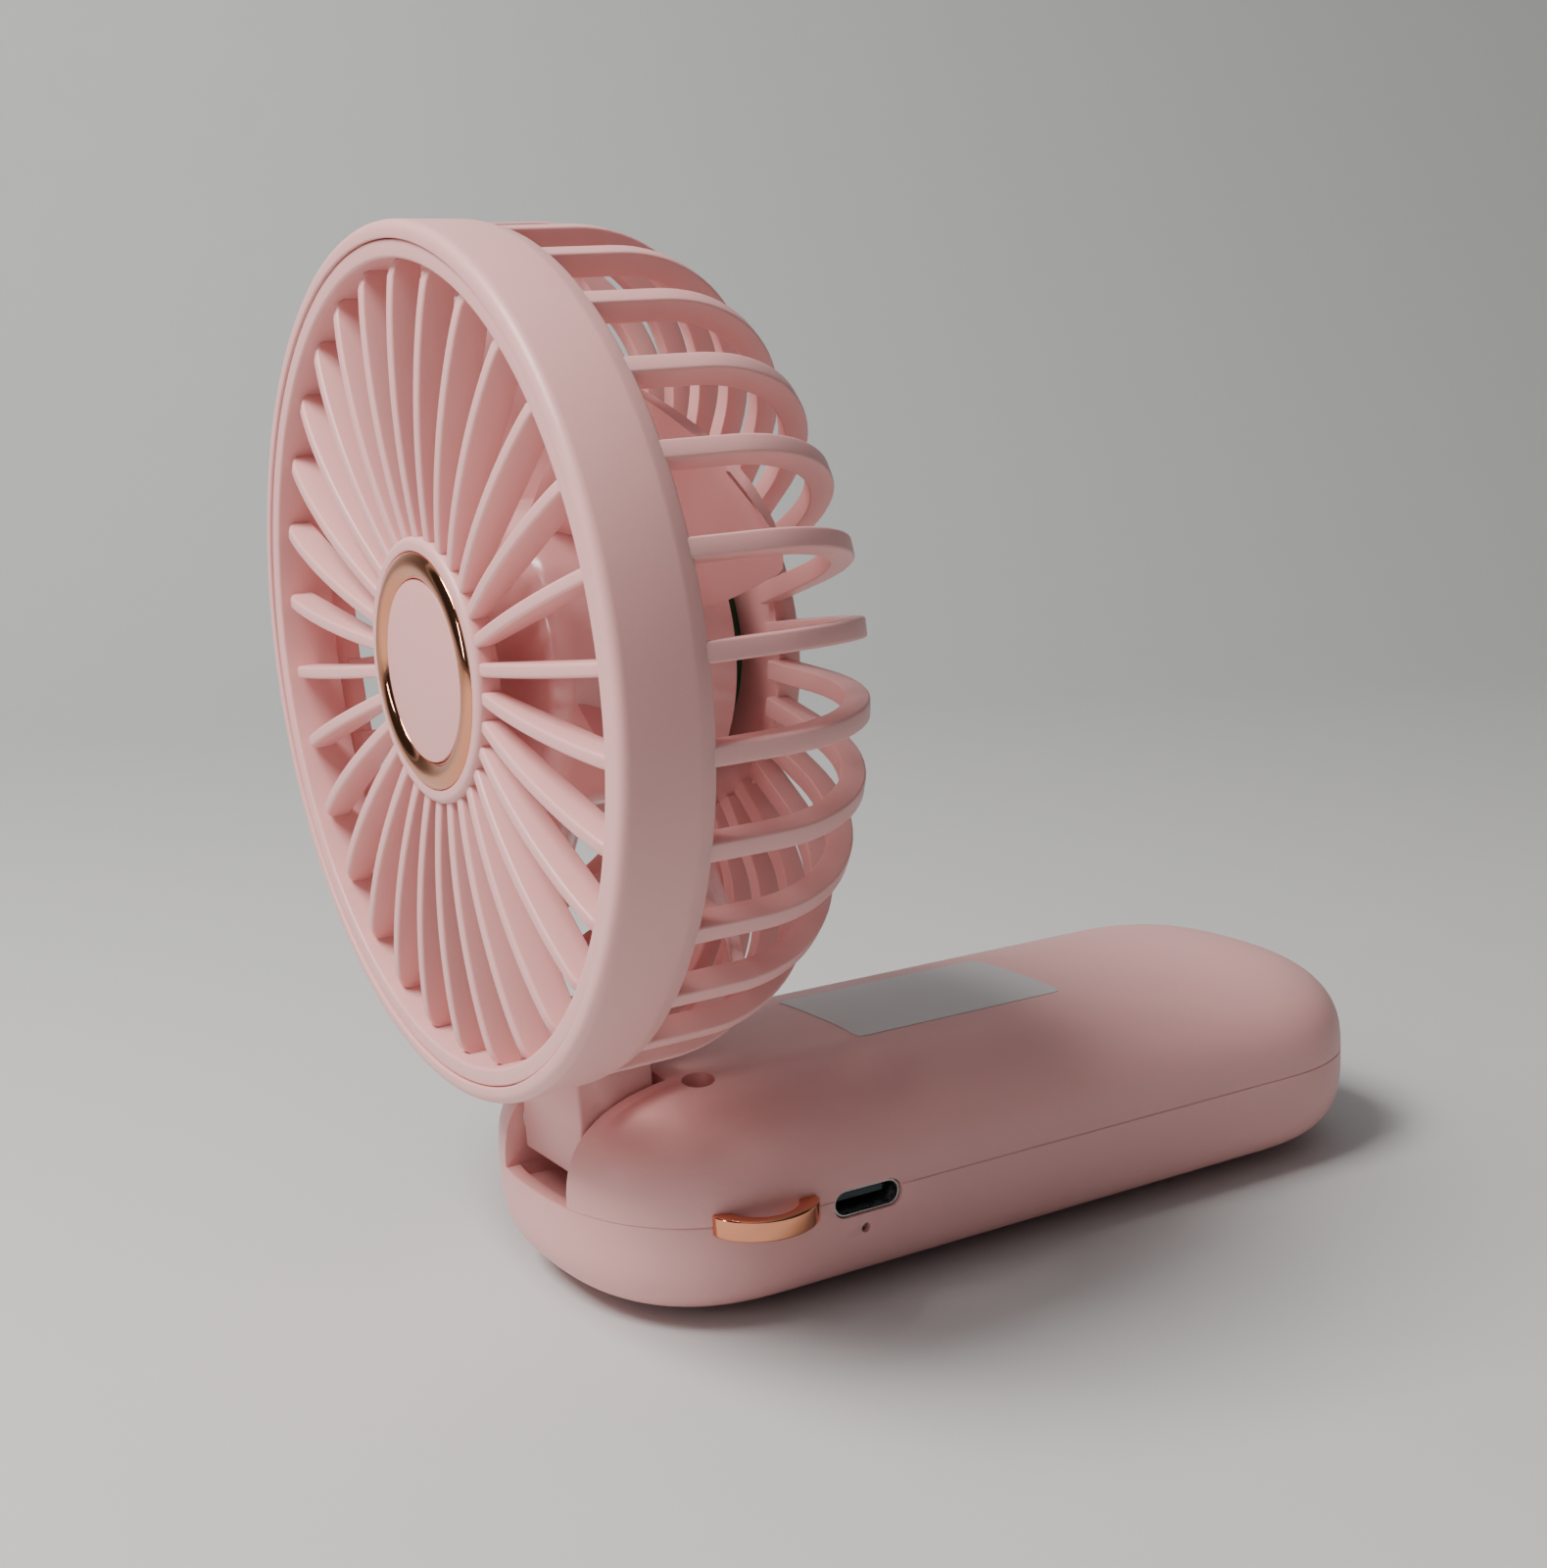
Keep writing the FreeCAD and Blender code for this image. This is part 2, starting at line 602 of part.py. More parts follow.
def make_usb_parts():
    """The socket's steel shell and the tongue inside it."""
    mouth = -mm("handle_half_width") + mm("usb_setback")
    rear = mouth + mm("usb_length")
    wall = mm("usb_wall")
    shell = usb_cut(mm("usb_shell_width"), mm("usb_shell_height"), mouth, rear)
    bore = usb_cut(mm("usb_shell_width") - 2 * wall, mm("usb_shell_height") - 2 * wall,
                   mouth - 1, rear - mm("usb_back_wall"))
    new_shape("usb_c_shell", shell.cut(bore))
    half = mm("tongue_width") / 2
    thick = mm("tongue_height") / 2
    height = mm("usb_height")
    root = rear - mm("usb_back_wall")
    tongue = box((mm("usb_x") - half, root - mm("tongue_length"), height - thick),
                 (mm("usb_x") + half, root, height + thick))
    base = usb_cut(mm("usb_shell_width") - 2 * wall, mm("usb_shell_height") - 2 * wall,
                   root - mm("tongue_base"), root)
    new_shape("usb_c_tongue", tongue.fuse(base))


def make_charge_light():
    """Light guide in the small hole under the socket, and the chip that feeds it."""
    mouth = -side_reach(mm("led_x")) + mm("guide_inset")
    guide_start = Vector(mm("led_x"), mouth, mm("led_height"))
    guide_radius = mm("led_radius") - mm("guide_play")
    guide = cylinder(guide_start, Vector(0, 1, 0), guide_radius, mm("guide_length"))
    new_shape("charge_light", guide)
    top = board_bottom()
    half = mm("led_width") / 2
    chip_y = mouth + mm("guide_length")
    new_shape("charge_led", box((mm("led_x") - half, chip_y, top - mm("led_drop")),
                                (mm("led_x") + half, chip_y + mm("led_depth"), top)))


def make_switch_and_button():
    """Tact switch under the board, its plunger, and the flush round button."""
    low = board_bottom()
    half = mm("switch_size") / 2
    x = mm("button_x")
    body = box((x - half, -half, low - mm("switch_height")), (x + half, half, low))
    face = low - mm("switch_height")
    well_depth = mm("plunger_length") - mm("plunger_stand") + mm("plunger_travel")
    well = cylinder(Vector(x, 0, face - 1), Vector(0, 0, 1),
                    mm("plunger_radius") + mm("plunger_play"), well_depth + 1)
    new_shape("switch_body", body.cut(well))
    stem_low = face - mm("plunger_stand")
    new_shape("switch_plunger", cylinder(Vector(x, 0, stem_low), Vector(0, 0, 1),
                                         mm("plunger_radius"), mm("plunger_length")))
    underside = mm("parting_height") - mm("face_drop")
    face = underside + mm("button_recess")
    inside = underside + mm("shell_wall")
    flange_low = inside + mm("button_lift")
    cap = cylinder(Vector(x, 0, face), Vector(0, 0, 1), mm("button_radius"),
                   flange_low - face + mm("button_lift"))
    flange = cylinder(Vector(x, 0, flange_low), Vector(0, 0, 1), mm("button_flange"),
                      mm("button_flange_thickness"))
    stem = cylinder(Vector(x, 0, flange_low), Vector(0, 0, 1), mm("button_stem_radius"),
                    stem_low - flange_low)
    button = cap.fuse([flange, stem])
    dish_height = face - mm("button_dish_radius") + mm("button_dish_depth")
    dish = Part.makeSphere(mm("button_dish_radius"), Vector(x, 0, dish_height))
    new_shape("power_button", button.cut(dish))


def make_battery():
    """Round cell, its two tabs, and the leads from the tabs to the board."""
    start = Vector(mm("cell_x"), 0, mm("cell_height"))
    radius = mm("cell_radius")
    can = cylinder(start, Vector(1, 0, 0), radius, mm("cell_length"))
    groove_start = start + Vector(mm("cell_groove_start"), 0, 0)
    width = mm("cell_groove_width")
    groove = cylinder(groove_start, Vector(1, 0, 0), radius + 1, width)
    core_radius = radius - mm("cell_groove_depth")
    groove = groove.cut(cylinder(groove_start, Vector(1, 0, 0), core_radius, width))
    nub_height = mm("cell_nub_height")
    nub = cylinder(start - Vector(nub_height, 0, 0), Vector(1, 0, 0), mm("cell_nub_radius"),
                   nub_height)
    new_shape("battery_cell", can.cut(groove).fuse(nub))
    thick = mm("tab_thickness")
    half = mm("tab_width") / 2
    plus_x = start.x - nub_height - thick
    plus = box((plus_x, -half, start.z - half), (plus_x + thick, half, start.z + half))
    minus_x = start.x + mm("cell_length")
    minus = box((minus_x, -half, start.z - half), (minus_x + thick, half, start.z + half))
    new_shape("battery_tabs", Part.makeCompound([plus, minus]))
    lead_radius = mm("battery_lead_radius")
    pad_height = board_bottom() + mm("board_thickness") + lead_radius
    board_end = mm("board_x") + mm("board_length")
    plus_start = Vector(plus_x - lead_radius, 0, start.z + 1.6)
    plus_points = [plus_start, Vector(plus_start.x, 8.0, start.z + 1.6),
                   Vector(board_end - 2.5, 9.5, pad_height), Vector(board_end - 6, 9.5, pad_height)]
    new_shape("battery_lead_plus", lead(plus_points, [1.2, 1.8], lead_radius))
    minus_start = Vector(minus_x + thick + lead_radius, -1, start.z)
    side_y = -(radius + lead_radius + 0.4)
    minus_points = [minus_start, Vector(minus_start.x, side_y, start.z),
                    Vector(board_end - 1, side_y, pad_height),
                    Vector(board_end - 4, side_y, pad_height)]
    new_shape("battery_lead_minus", lead(minus_points, [2.0, 8.0], lead_radius))


def make_lanyard_bar():
    """Bowed bar between two posts on the handle's near side, over the parting line."""
    half = mm("lanyard_length") / 2
    x = mm("lanyard_x")
    low = mm("lanyard_z") - mm("lanyard_height") / 2
    post = mm("lanyard_post")
    thick = mm("lanyard_thickness")
    left_y = -side_reach(x - half)
    right_y = -side_reach(x + half)
    middle_y = -side_reach(x) - mm("lanyard_bow")
    root = mm("lanyard_root")

    def bow(inset, ends_in):
        start = Vector(x - half + ends_in, left_y - 0.7 + inset, low)
        end = Vector(x + half - ends_in, right_y - 0.7 + inset, low)
        middle = Vector(x - 0.4, middle_y + inset, low)
        return Part.Arc(start, middle, end), start, end

    outer, outer_start, outer_end = bow(0, 0)
    inner, inner_start, inner_end = bow(thick, post)
    corners = [inner_start, Vector(inner_start.x, left_y + root, low),
               Vector(outer_start.x, left_y + root, low), outer_start]
    tip = [outer_end, Vector(outer_end.x, right_y + root, low),
           Vector(inner_end.x, right_y + root, low), inner_end]
    edges = [outer.toShape(), inner.toShape()]
    for chain in (corners, tip):
        edges += [Part.LineSegment(a, b).toShape() for a, b in zip(chain, chain[1:])]
    face = Part.Face(Part.Wire(Part.__sortEdges__(edges)))
    bar = face.extrude(Vector(0, 0, mm("lanyard_height")))
    flat_edges = [edge for edge in bar.Edges if abs(edge.BoundBox.ZLength) < 1e-6
                  and edge.BoundBox.YMin < min(left_y, right_y) - 0.9]
    return bar.makeFillet(0.3, flat_edges)


def make_label():
    """Blank rating label on the flat of the back."""
    half_x = mm("label_length") / 2
    half_y = mm("label_width") / 2
    height = mm("parting_height") + mm("back_rise")
    label = box((mm("label_x") - half_x, -half_y, height),
                (mm("label_x") + half_x, half_y, height + mm("label_thickness")))
    upright = [edge for edge in label.Edges if edge.BoundBox.ZLength > mm("label_thickness") / 2]
    new_shape("rating_label", label.makeFillet(0.6, upright))


def make_hinge_parts():
    """Solid pin, hollow pin that the motor lead passes through, and two washers."""
    along = Vector(0, 1, 0)
    far_start = HINGE + Vector(0, mm("far_pin_start"), 0)
    far_length = mm("pin_end") - mm("far_pin_start")
    new_shape("hinge_pin", cylinder(far_start, along, mm("pin_radius"), far_length))
    near_start = HINGE - Vector(0, mm("pin_end"), 0)
    near_length = mm("pin_end") - mm("near_pin_start")
    tube = cylinder(near_start, along, mm("pin_radius"), near_length)
    bore = cylinder(near_start, along, mm("tube_bore_radius"), near_length)
    new_shape("hinge_tube", tube.cut(bore))
    washers = []
    gap = mm("slot_half_width") - mm("neck_half_width")
    for side in (-1, 1):
        centre = mm("neck_half_width") + gap / 2
        start = HINGE + Vector(0, side * centre - mm("washer_thickness") / 2, 0)
        disc = cylinder(start, along, mm("washer_radius"), mm("washer_thickness"))
        hole = cylinder(start, along, mm("pin_radius"), mm("washer_thickness"))
        washers.append(disc.cut(hole))
    new_shape("hinge_washers", Part.makeCompound(washers))


def make_handle_lead():
    """Root half of the motor lead: out of the hollow pin and down to the board."""
    axis_end = HINGE - Vector(0, mm("near_pin_start") + 1.0, 0)
    pad_height = board_bottom() + mm("board_thickness") + mm("lead_radius")
    outside = HINGE - Vector(0, mm("pin_end") + 1.0, 0)
    points = [axis_end, outside, Vector(-40.0, outside.y - 1.0, 15.0),
              Vector(-33.0, -15.2, pad_height), Vector(-28.5, -13.0, pad_height)]
    new_shape("handle_lead", lead(points, [1.1, 3.0, 4.0], mm("lead_radius")))


# ---------------------------------------------------------------- head parts
def rib_heights(outer_radius, depth):
    """Where a rib's outer and inner lines meet, and where they reach the hub."""
    hub = size("hub_radius") - size("hub_wall") / 2
    slope = mm("rib_slope")
    drop = depth * math.hypot(1, slope)
    outer_hub = size("rib_hub_rear")
    inner_hub = outer_hub - drop
    outer_corner = outer_hub + (outer_radius - hub) * slope
    inner_corner = inner_hub + (outer_radius - depth - hub) * slope
    return hub, outer_corner, inner_corner, outer_hub, inner_hub


def rib_corners(outer_radius, depth, side):
    """Outline of a rib in the plane of the axis: along the cage, then in to the hub."""
    hub, outer_corner, inner_corner, outer_hub, inner_hub = rib_heights(outer_radius, depth)
    start = size("rib_start")
    inner_radius = outer_radius - depth
    corners = [(outer_radius, start), (outer_radius, outer_corner), (hub, outer_hub),
               (hub, inner_hub), (inner_radius, inner_corner), (inner_radius, start)]
    return [(across * side, along) for across, along in corners]


def bend_rib(body, name, outer_radius, depth, side):
    """Round the rib's outer and inner corners about the same centre."""
    bend = size("rib_bend")
    heights = rib_heights(outer_radius, depth)
    corners = [("_outer_bend", outer_radius.value, heights[1].value, bend),
               ("_inner_bend", outer_radius.value - depth.value, heights[2].value, bend - depth)]
    for suffix, radius, height, round_radius in corners:

        def at_corner(edge, middle, radius=radius, height=height):
            return abs(middle.x - side * radius) < 0.02 and abs(middle.z - height) < 0.02

        fillet(body, name + suffix, at_corner, round_radius)


def make_rib_blank():
    """Thirty narrow ribs joined to the band and the rear hub."""
    body = new_body("cage_ribs", HEAD)
    parts.remove(body)
    radius = size("band_rear_radius")
    sketch = new_sketch(body, "rib_outline", "XZ_Plane")
    draw_polygon(sketch, rib_corners(radius, size("rib_depth"), 1))
    pad(body, "rib", sketch, size("rib_width"), both_ways=True)
    bend_rib(body, "rib", radius, size("rib_depth"), 1)
    pattern = body.newObject("PartDesign::PolarPattern", "ribs")
    pattern.TransformMode = "Whole shape"
    pattern.Axis = (plane_of(body, "Z_Axis"), [""])
    pattern.Angle = 360
    pattern.Occurrences = mm("rib_count")
    pattern.setExpression("Occurrences", size("rib_count").text)
    body.Tip = pattern
    seat = size("seam_radius")
    inner = size("band_inner_radius")
    revolve(body, "band", [
        (seat, size("band_front")), (size("band_radius"), size("band_front")),
        (radius, size("band_rear")), (inner, size("band_rear")),
        (inner, size("grille_seat")), (seat, size("grille_seat"))])
    hub = size("hub_radius")
    hub_inner = hub - size("hub_wall")
    web_rear = size("web_front") + size("web_thickness")
    sleeve = size("sleeve_radius")
    revolve(body, "rear_hub", [
        (sleeve, size("web_front")), (hub, size("web_front")), (hub, size("hub_rear")),
        (hub_inner, size("hub_rear")), (hub_inner, web_rear), (sleeve, web_rear)])
    fillet(body, "band_front_round", on_circle(mm("band_radius"), mm("band_front")),
           size("band_front_fillet"))
    fillet(body, "hub_rear_round", on_circle(mm("hub_radius"), mm("hub_rear")),
           size("band_rear_fillet"))
    return body


def make_neck_blank():
    """The wide bottom rib that hides the lead, and the neck with the hinge bore."""
    body = new_body("cage_neck", HEAD)
    parts.remove(body)
    radius = size("channel_radius")
    depth = size("channel_depth")
    sketch = new_sketch(body, "channel_outline", "XZ_Plane")
    draw_polygon(sketch, rib_corners(radius, depth, -1))
    pad(body, "channel", sketch, size("channel_width"), both_ways=True)
    bend_rib(body, "channel", radius, depth, -1)
    axis_x = Size(HINGE_IN_HEAD.x, str(HINGE_IN_HEAD.x))
    axis_z = Size(HINGE_IN_HEAD.z, str(HINGE_IN_HEAD.z))
    low = axis_x - size("neck_below")
    high = axis_x + size("neck_top")
    front = axis_z - size("neck_front")
    rear = axis_z + size("neck_rear")
    sketch = new_sketch(body, "neck_outline", "XZ_Plane")
    draw_box(sketch, low, front, high, rear)
    pad(body, "neck", sketch, size("neck_half_width") * 2, both_ways=True)

    def rear_low_edge(edge, middle):
        return abs(middle.x - low.value) < 0.02 and abs(middle.z - rear.value) < 0.02

    fillet(body, "neck_round", rear_low_edge, size("neck_round"))
    sketch = new_sketch(body, "hinge_bore_outline", "XZ_Plane")
    draw_circle(sketch, axis_x, axis_z, size("pin_radius") + size("pin_play"))
    pocket(body, "hinge_bore", sketch, size("neck_half_width") * 3, both_ways=True)
    return body


def make_rear_cage():
    """Ribs, band, rear hub, lead channel and neck as one moulding with a lead duct."""
    ribs = make_rib_blank()
    neck = make_neck_blank()
    moulding = doc.addObject("Part::Fuse", "cage_moulding")
    moulding.Base = ribs
    moulding.Tool = neck
    duct = doc.addObject("Part::Feature", "lead_duct")
    duct.Shape = head_lead_shape(mm("lead_bore_radius"))
    duct.Placement = HEAD
    grille_room = doc.addObject("Part::Cylinder", "grille_room")
    grille_room.setExpression("Radius", size("seam_radius").text)
    grille_room.setExpression("Height", (size("grille_seat") + 5).text)
    grille_room.Placement = HEAD * FreeCAD.Placement(Vector(0, 0, -5), FreeCAD.Rotation())
    tools = doc.addObject("Part::Fuse", "cage_cutters")
    tools.Base = duct
    tools.Tool = grille_room
    cage = doc.addObject("Part::Cut", "rear_cage")
    cage.Base = moulding
    cage.Tool = tools
    parts.append(cage)
    doc.recompute()


def make_front_grille():
    """Ring, thirty bowed spokes and hub, with a seat for the medallion."""
    hub = size("grille_hub_radius")
    twist = FreeCAD.Rotation(Vector(0, 0, 1), mm("grille_twist"))
    body = new_body("front_grille", HEAD * FreeCAD.Placement(Vector(0, 0, 0), twist))
    root = hub - 0.4
    middle = (size("grille_hub_radius") + size("grille_opening")) / 2
    tip = size("grille_opening") + 0.5
    root_front = size("spoke_root_front")
    middle_front = size("spoke_middle_front")
    sketch = new_sketch(body, "spoke_outline", "XZ_Plane")
    draw_polygon(sketch, [
        (root, root_front),
        ((root * 2 + middle) / 3, (root_front + middle_front * 2) / 3 + 0.02),
        (middle, middle_front),
        ((middle + tip * 2) / 3, (middle_front + size("spoke_tip_front")) / 2 - 0.12),
        (tip, size("spoke_tip_front")),
        (tip, size("spoke_tip_rear")), (root, size("spoke_root_rear"))])
    pad(body, "spoke", sketch, size("spoke_width"), both_ways=True)
    pattern = body.newObject("PartDesign::PolarPattern", "spokes")
    pattern.TransformMode = "Whole shape"
    pattern.Axis = (plane_of(body, "Z_Axis"), [""])
    pattern.Angle = 360
    pattern.Occurrences = mm("spoke_count")
    pattern.setExpression("Occurrences", size("spoke_count").text)
    body.Tip = pattern
    doc.recompute()
    outer = size("seam_radius") - size("seam_gap")
    opening = size("grille_opening")
    depth = size("grille_depth")
    ease = size("grille_round")
    revolve(body, "grille_ring", [
        (opening, ease), (opening + ease * 0.3, ease * 0.3), (opening + ease, ZERO),
        (outer, ZERO), (outer, depth), (opening, depth)])
    seat = size("ring_outer_radius") + 0.08
    front = size("grille_hub_front")
    revolve(body, "grille_hub", [
        (ZERO, size("medallion_seat")), (seat, size("medallion_seat")),
        (seat, front + ease * 0.5), (seat + ease * 0.5, front), (hub - ease, front),
        (hub - ease * 0.3, front + ease * 0.3), (hub, front + ease),
        (hub, size("grille_hub_rear")), (ZERO, size("grille_hub_rear"))])
    doc.recompute()
    return body


def make_medallion():
    """Convex rose-gold ring and the blank flat cap inside it."""
    ring = new_body("centre_ring", HEAD)
    inner = size("ring_inner_radius")
    outer = size("ring_outer_radius")
    seat = size("medallion_seat")
    lip = size("ring_lip")
    crest = size("ring_crest")
    revolve(ring, "ring_turn", [
        (inner, seat), (outer, seat), (outer, seat - crest), (outer - 0.55, seat - crest - lip),
        (outer - 1.4, seat - crest - lip * 1.35), (inner + 0.7, seat - crest - lip * 0.8),
        (inner, seat - crest + 0.15)])
    cap = new_body("centre_cap", HEAD)
    front = seat - size("cap_thickness")
    revolve(cap, "cap_turn", [(ZERO, seat), (size("cap_radius"), seat),
                              (size("cap_radius"), front), (ZERO, front)])
    doc.recompute()


def make_motor_fixed():
    """Stator side of the motor, on the rear hub's web."""
    sleeve = size("sleeve_radius")
    bearing = size("bearing_radius")
    rear = size("web_front") + size("web_thickness")
    turned("bearing_sleeve", ring_profile(bearing, sleeve, size("sleeve_front"), rear), HEAD)
    bore = size("shaft_radius") + size("shaft_play")
    for label, start in (("front_bearing", "front_bearing"), ("rear_bearing", "rear_bearing")):
        low = size(start)
        turned(label, ring_profile(bore, bearing, low, low + size("bearing_width")), HEAD)
    thickness = mm("core_rear") - mm("core_front")
    base = Vector(0, 0, mm("core_front"))
    core = Part.makeCylinder(mm("sleeve_radius") + 1.4, thickness, base)
    shoe_inner = mm("core_radius") - mm("pole_shoe")
    half = mm("pole_width") / 2
    wall = mm("coil_wall")
    coils = []
    poles = []
    for index in range(mm("pole_count")):
        turn = 360 * index / mm("pole_count")
        pole = box((0, -half, mm("core_front")), (shoe_inner + 0.5, half, mm("core_rear")))
        wedge = Part.makeCylinder(mm("core_radius"), thickness, base, Vector(0, 0, 1), 42)
        wedge = wedge.cut(Part.makeCylinder(shoe_inner, thickness, base))
        wedge.rotate(Vector(0, 0, 0), Vector(0, 0, 1), -21)
        pole = pole.fuse(wedge)
        coil = box((mm("sleeve_radius") + 1.7, -half - wall, mm("core_front") - wall),
                   (shoe_inner - 0.15, half + wall, mm("core_rear") + wall))
        upright = [edge for edge in coil.Edges if edge.BoundBox.XLength > 1]
        coil = coil.makeFillet(wall * 0.6, upright)
        coil = coil.cut(box((0, -half, mm("core_front")), (20, half, mm("core_rear"))))
        for piece, group in ((pole, poles), (coil, coils)):
            piece.rotate(Vector(0, 0, 0), Vector(0, 0, 1), turn)
            group.append(piece)
    core = core.fuse(poles).cut(Part.makeCylinder(mm("sleeve_radius"), thickness, base))
    coils = [coil.cut(core) for coil in coils]
    new_shape("stator_core", core, HEAD)
    new_shape("stator_coils", Part.makeCompound(coils), HEAD)
    driver_low = size("driver_front")
    driver = ring_profile(sleeve + 0.3, size("driver_radius"), driver_low,
                          driver_low + size("driver_thickness"))
    turned("motor_driver_board", driver, HEAD)
    cap_radius = size("hub_radius") - size("hub_wall") - 0.1
    turned("rear_hub_cap", [(ZERO, rear), (cap_radius, rear),
                            (cap_radius, rear + size("hub_cap_thickness")),
                            (ZERO, rear + size("hub_cap_thickness"))], HEAD)


def make_rotor():
    """Shaft, cup, magnet, clip and impeller, which turn together."""
    shaft = size("shaft_radius")
    turned("motor_shaft", [(ZERO, size("shaft_front")), (shaft, size("shaft_front")),
                           (shaft, size("shaft_rear")), (ZERO, size("shaft_rear"))], HEAD)
    cup = size("cup_radius")
    wall = size("cup_wall")
    front = size("cup_front")
    turned("rotor_cup", [
        (shaft, front - 1.4), (shaft + 1.5, front - 1.4), (shaft + 1.5, front), (cup, front),
        (cup, size("magnet_rear") + 0.4), (cup - wall, size("magnet_rear") + 0.4),
        (cup - wall, front + wall), (shaft, front + wall)], HEAD)
    turned("rotor_magnet", ring_profile(size("magnet_inner_radius"), cup - wall,
                                        size("magnet_front"), size("magnet_rear")), HEAD)
    clip_low = size("rear_bearing") + size("bearing_width") + 0.3
    turned("shaft_clip", ring_profile(shaft, size("clip_radius"), clip_low,
                                      clip_low + size("clip_thickness")), HEAD)
    new_shape("impeller", impeller_shape(), HEAD)


def impeller_shape():
    """Hub with broad twisted blades that sweep forward at the tip."""
    front = mm("impeller_front")
    rear = mm("impeller_rear")
    radius = mm("impeller_hub_radius")
    hub = Part.makeCylinder(radius, rear - front, Vector(0, 0, front))
    nose = [edge for edge in hub.Edges if abs(edge.BoundBox.ZMax - front) < 0.01
            and edge.BoundBox.XLength > radius]
    hub = hub.makeFillet(2.6, nose)
    depth = rear - front
    bore = Part.makeCylinder(mm("cup_radius"), depth, Vector(0, 0, mm("cup_front")))
    boss_room = Part.makeCylinder(mm("shaft_radius") + 1.5, 4, Vector(0, 0, mm("cup_front") - 1.4))
    shaft_room = Part.makeCylinder(mm("shaft_radius"), 4, Vector(0, 0, mm("shaft_front")))
    hollow_start = Vector(0, 0, front + mm("impeller_wall") * 1.5)
    hollow = Part.makeCylinder(radius - mm("impeller_wall"), depth, hollow_start)
    hollow = hollow.cut(Part.makeCylinder(mm("cup_radius") + mm("impeller_wall"), depth,
                                          hollow_start))
    hub = hub.cut([bore, boss_room, shaft_room, hollow])
    stations = [(radius - 1.0, 20.0, 50, 0.0), (22.0, 23.5, 43, 2.0), (31.0, 26.5, 36, 4.0),
                (mm("blade_tip_radius") - 1.5, 27.0, 30, 6.0)]
    middle = mm("blade_middle")
    blade = Part.makeLoft([blade_section(*station, middle) for station in stations], True, False)
    room = Part.makeCylinder(mm("blade_tip_radius"), mm("blade_room_rear"))
    room_rear = [edge for edge in room.Edges if edge.BoundBox.ZMin > mm("blade_room_rear") / 2]
    room = room.makeFillet(mm("blade_room_round"), room_rear)
    keep = room.cut(Part.makeCylinder(radius - 0.6, mm("blade_room_rear")))
    blade = blade.common(keep)
    blades = []
    for index in range(mm("blade_count")):
        turned_blade = blade.copy()
        turn = mm("blade_phase") + 360 * index / mm("blade_count")
        turned_blade.rotate(Vector(0, 0, 0), Vector(0, 0, 1), turn)
        blades.append(turned_blade)
    return hub.fuse(blades)


def blade_section(radius, chord, pitch, sweep, middle):
    """Closed cambered strip across the blade at one radius."""
    half_thickness = mm("blade_thickness") / 2
    camber = chord * 0.07
    steps = 6
    slope = math.radians(pitch)
    upper = []
    lower = []
    for step in range(steps + 1):
        share = step / steps * 2 - 1
        along = share * chord / 2
        bow = camber * (1 - share ** 2)
        thick = half_thickness * math.sqrt(max(0.12, 1 - abs(share) ** 3))
        for side, points in ((1, upper), (-1, lower)):
            lift = bow + side * thick
            across = along * math.cos(slope) - lift * math.sin(slope) + sweep
            height = along * math.sin(slope) + lift * math.cos(slope) + middle
            points.append(Vector(radius, across, height))
    top = Part.BSplineCurve()
    top.interpolate(Points=upper)
    bottom = Part.BSplineCurve()
    bottom.interpolate(Points=lower[::-1])
    tail = Part.LineSegment(upper[-1], lower[-1])
    nose = Part.LineSegment(lower[0], upper[0])
    return Part.Wire([curve.toShape() for curve in (top, tail, bottom, nose)])


def head_lead_shape(radius):
    """Head half of the motor lead: driver board, bottom rib, neck, then the hinge axis."""
    axis = HINGE_IN_HEAD
    depth = size("channel_depth")
    run_radius = mm("channel_radius") - mm("channel_depth") / 2
    corner_height = rib_heights(size("channel_radius"), depth / 2)[2].value
    behind_board = mm("driver_front") - mm("lead_radius") - 0.05
    points = [Vector(-9.0, 0, behind_board), Vector(-15.2, 0, behind_board),
              Vector(-run_radius, 0, corner_height), Vector(-run_radius, 0, axis.z),
              Vector(axis.x, 0, axis.z), Vector(axis.x, mm("near_pin_start") + 1.0, axis.z)]
    bends = [8.0, mm("rib_bend") - mm("channel_depth") / 2, 2.4, 2.6]
    return lead(points, bends, radius)


# ---------------------------------------------------------------- build
lanyard_shape = make_lanyard_bar()
make_back_shell(lanyard_shape)
make_front_shell(lanyard_shape)
make_case_screws()
make_board_screws()
make_main_board()
make_usb_parts()
make_charge_light()
make_switch_and_button()
make_battery()
new_shape("lanyard_bar", lanyard_shape)
make_label()
make_hinge_parts()
make_handle_lead()
make_rear_cage()
new_shape("motor_lead", head_lead_shape(mm("lead_radius")), HEAD)
make_front_grille()
make_medallion()
make_motor_fixed()
make_rotor()

doc.recompute()
for item in doc.Objects:
    if "Invalid" in item.State or "Error" in item.State:
        raise RuntimeError(f"{item.Name} is {item.State}")
for part in parts:
    if part.Shape.isNull() or not part.Shape.isValid():
        raise RuntimeError(f"{part.Label} has no valid shape")
    print(part.Label, len(part.Shape.Solids), round(part.Shape.Volume, 1))

os.makedirs("parts", exist_ok=True)
for part in parts:
    part.Shape.exportStep(f"parts/{part.Label}.step")
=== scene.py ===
"""Looks of the folding handheld fan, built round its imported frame. Lengths in millimetres."""
import json
import math

import bmesh
import bpy
from mathutils import Matrix, Vector


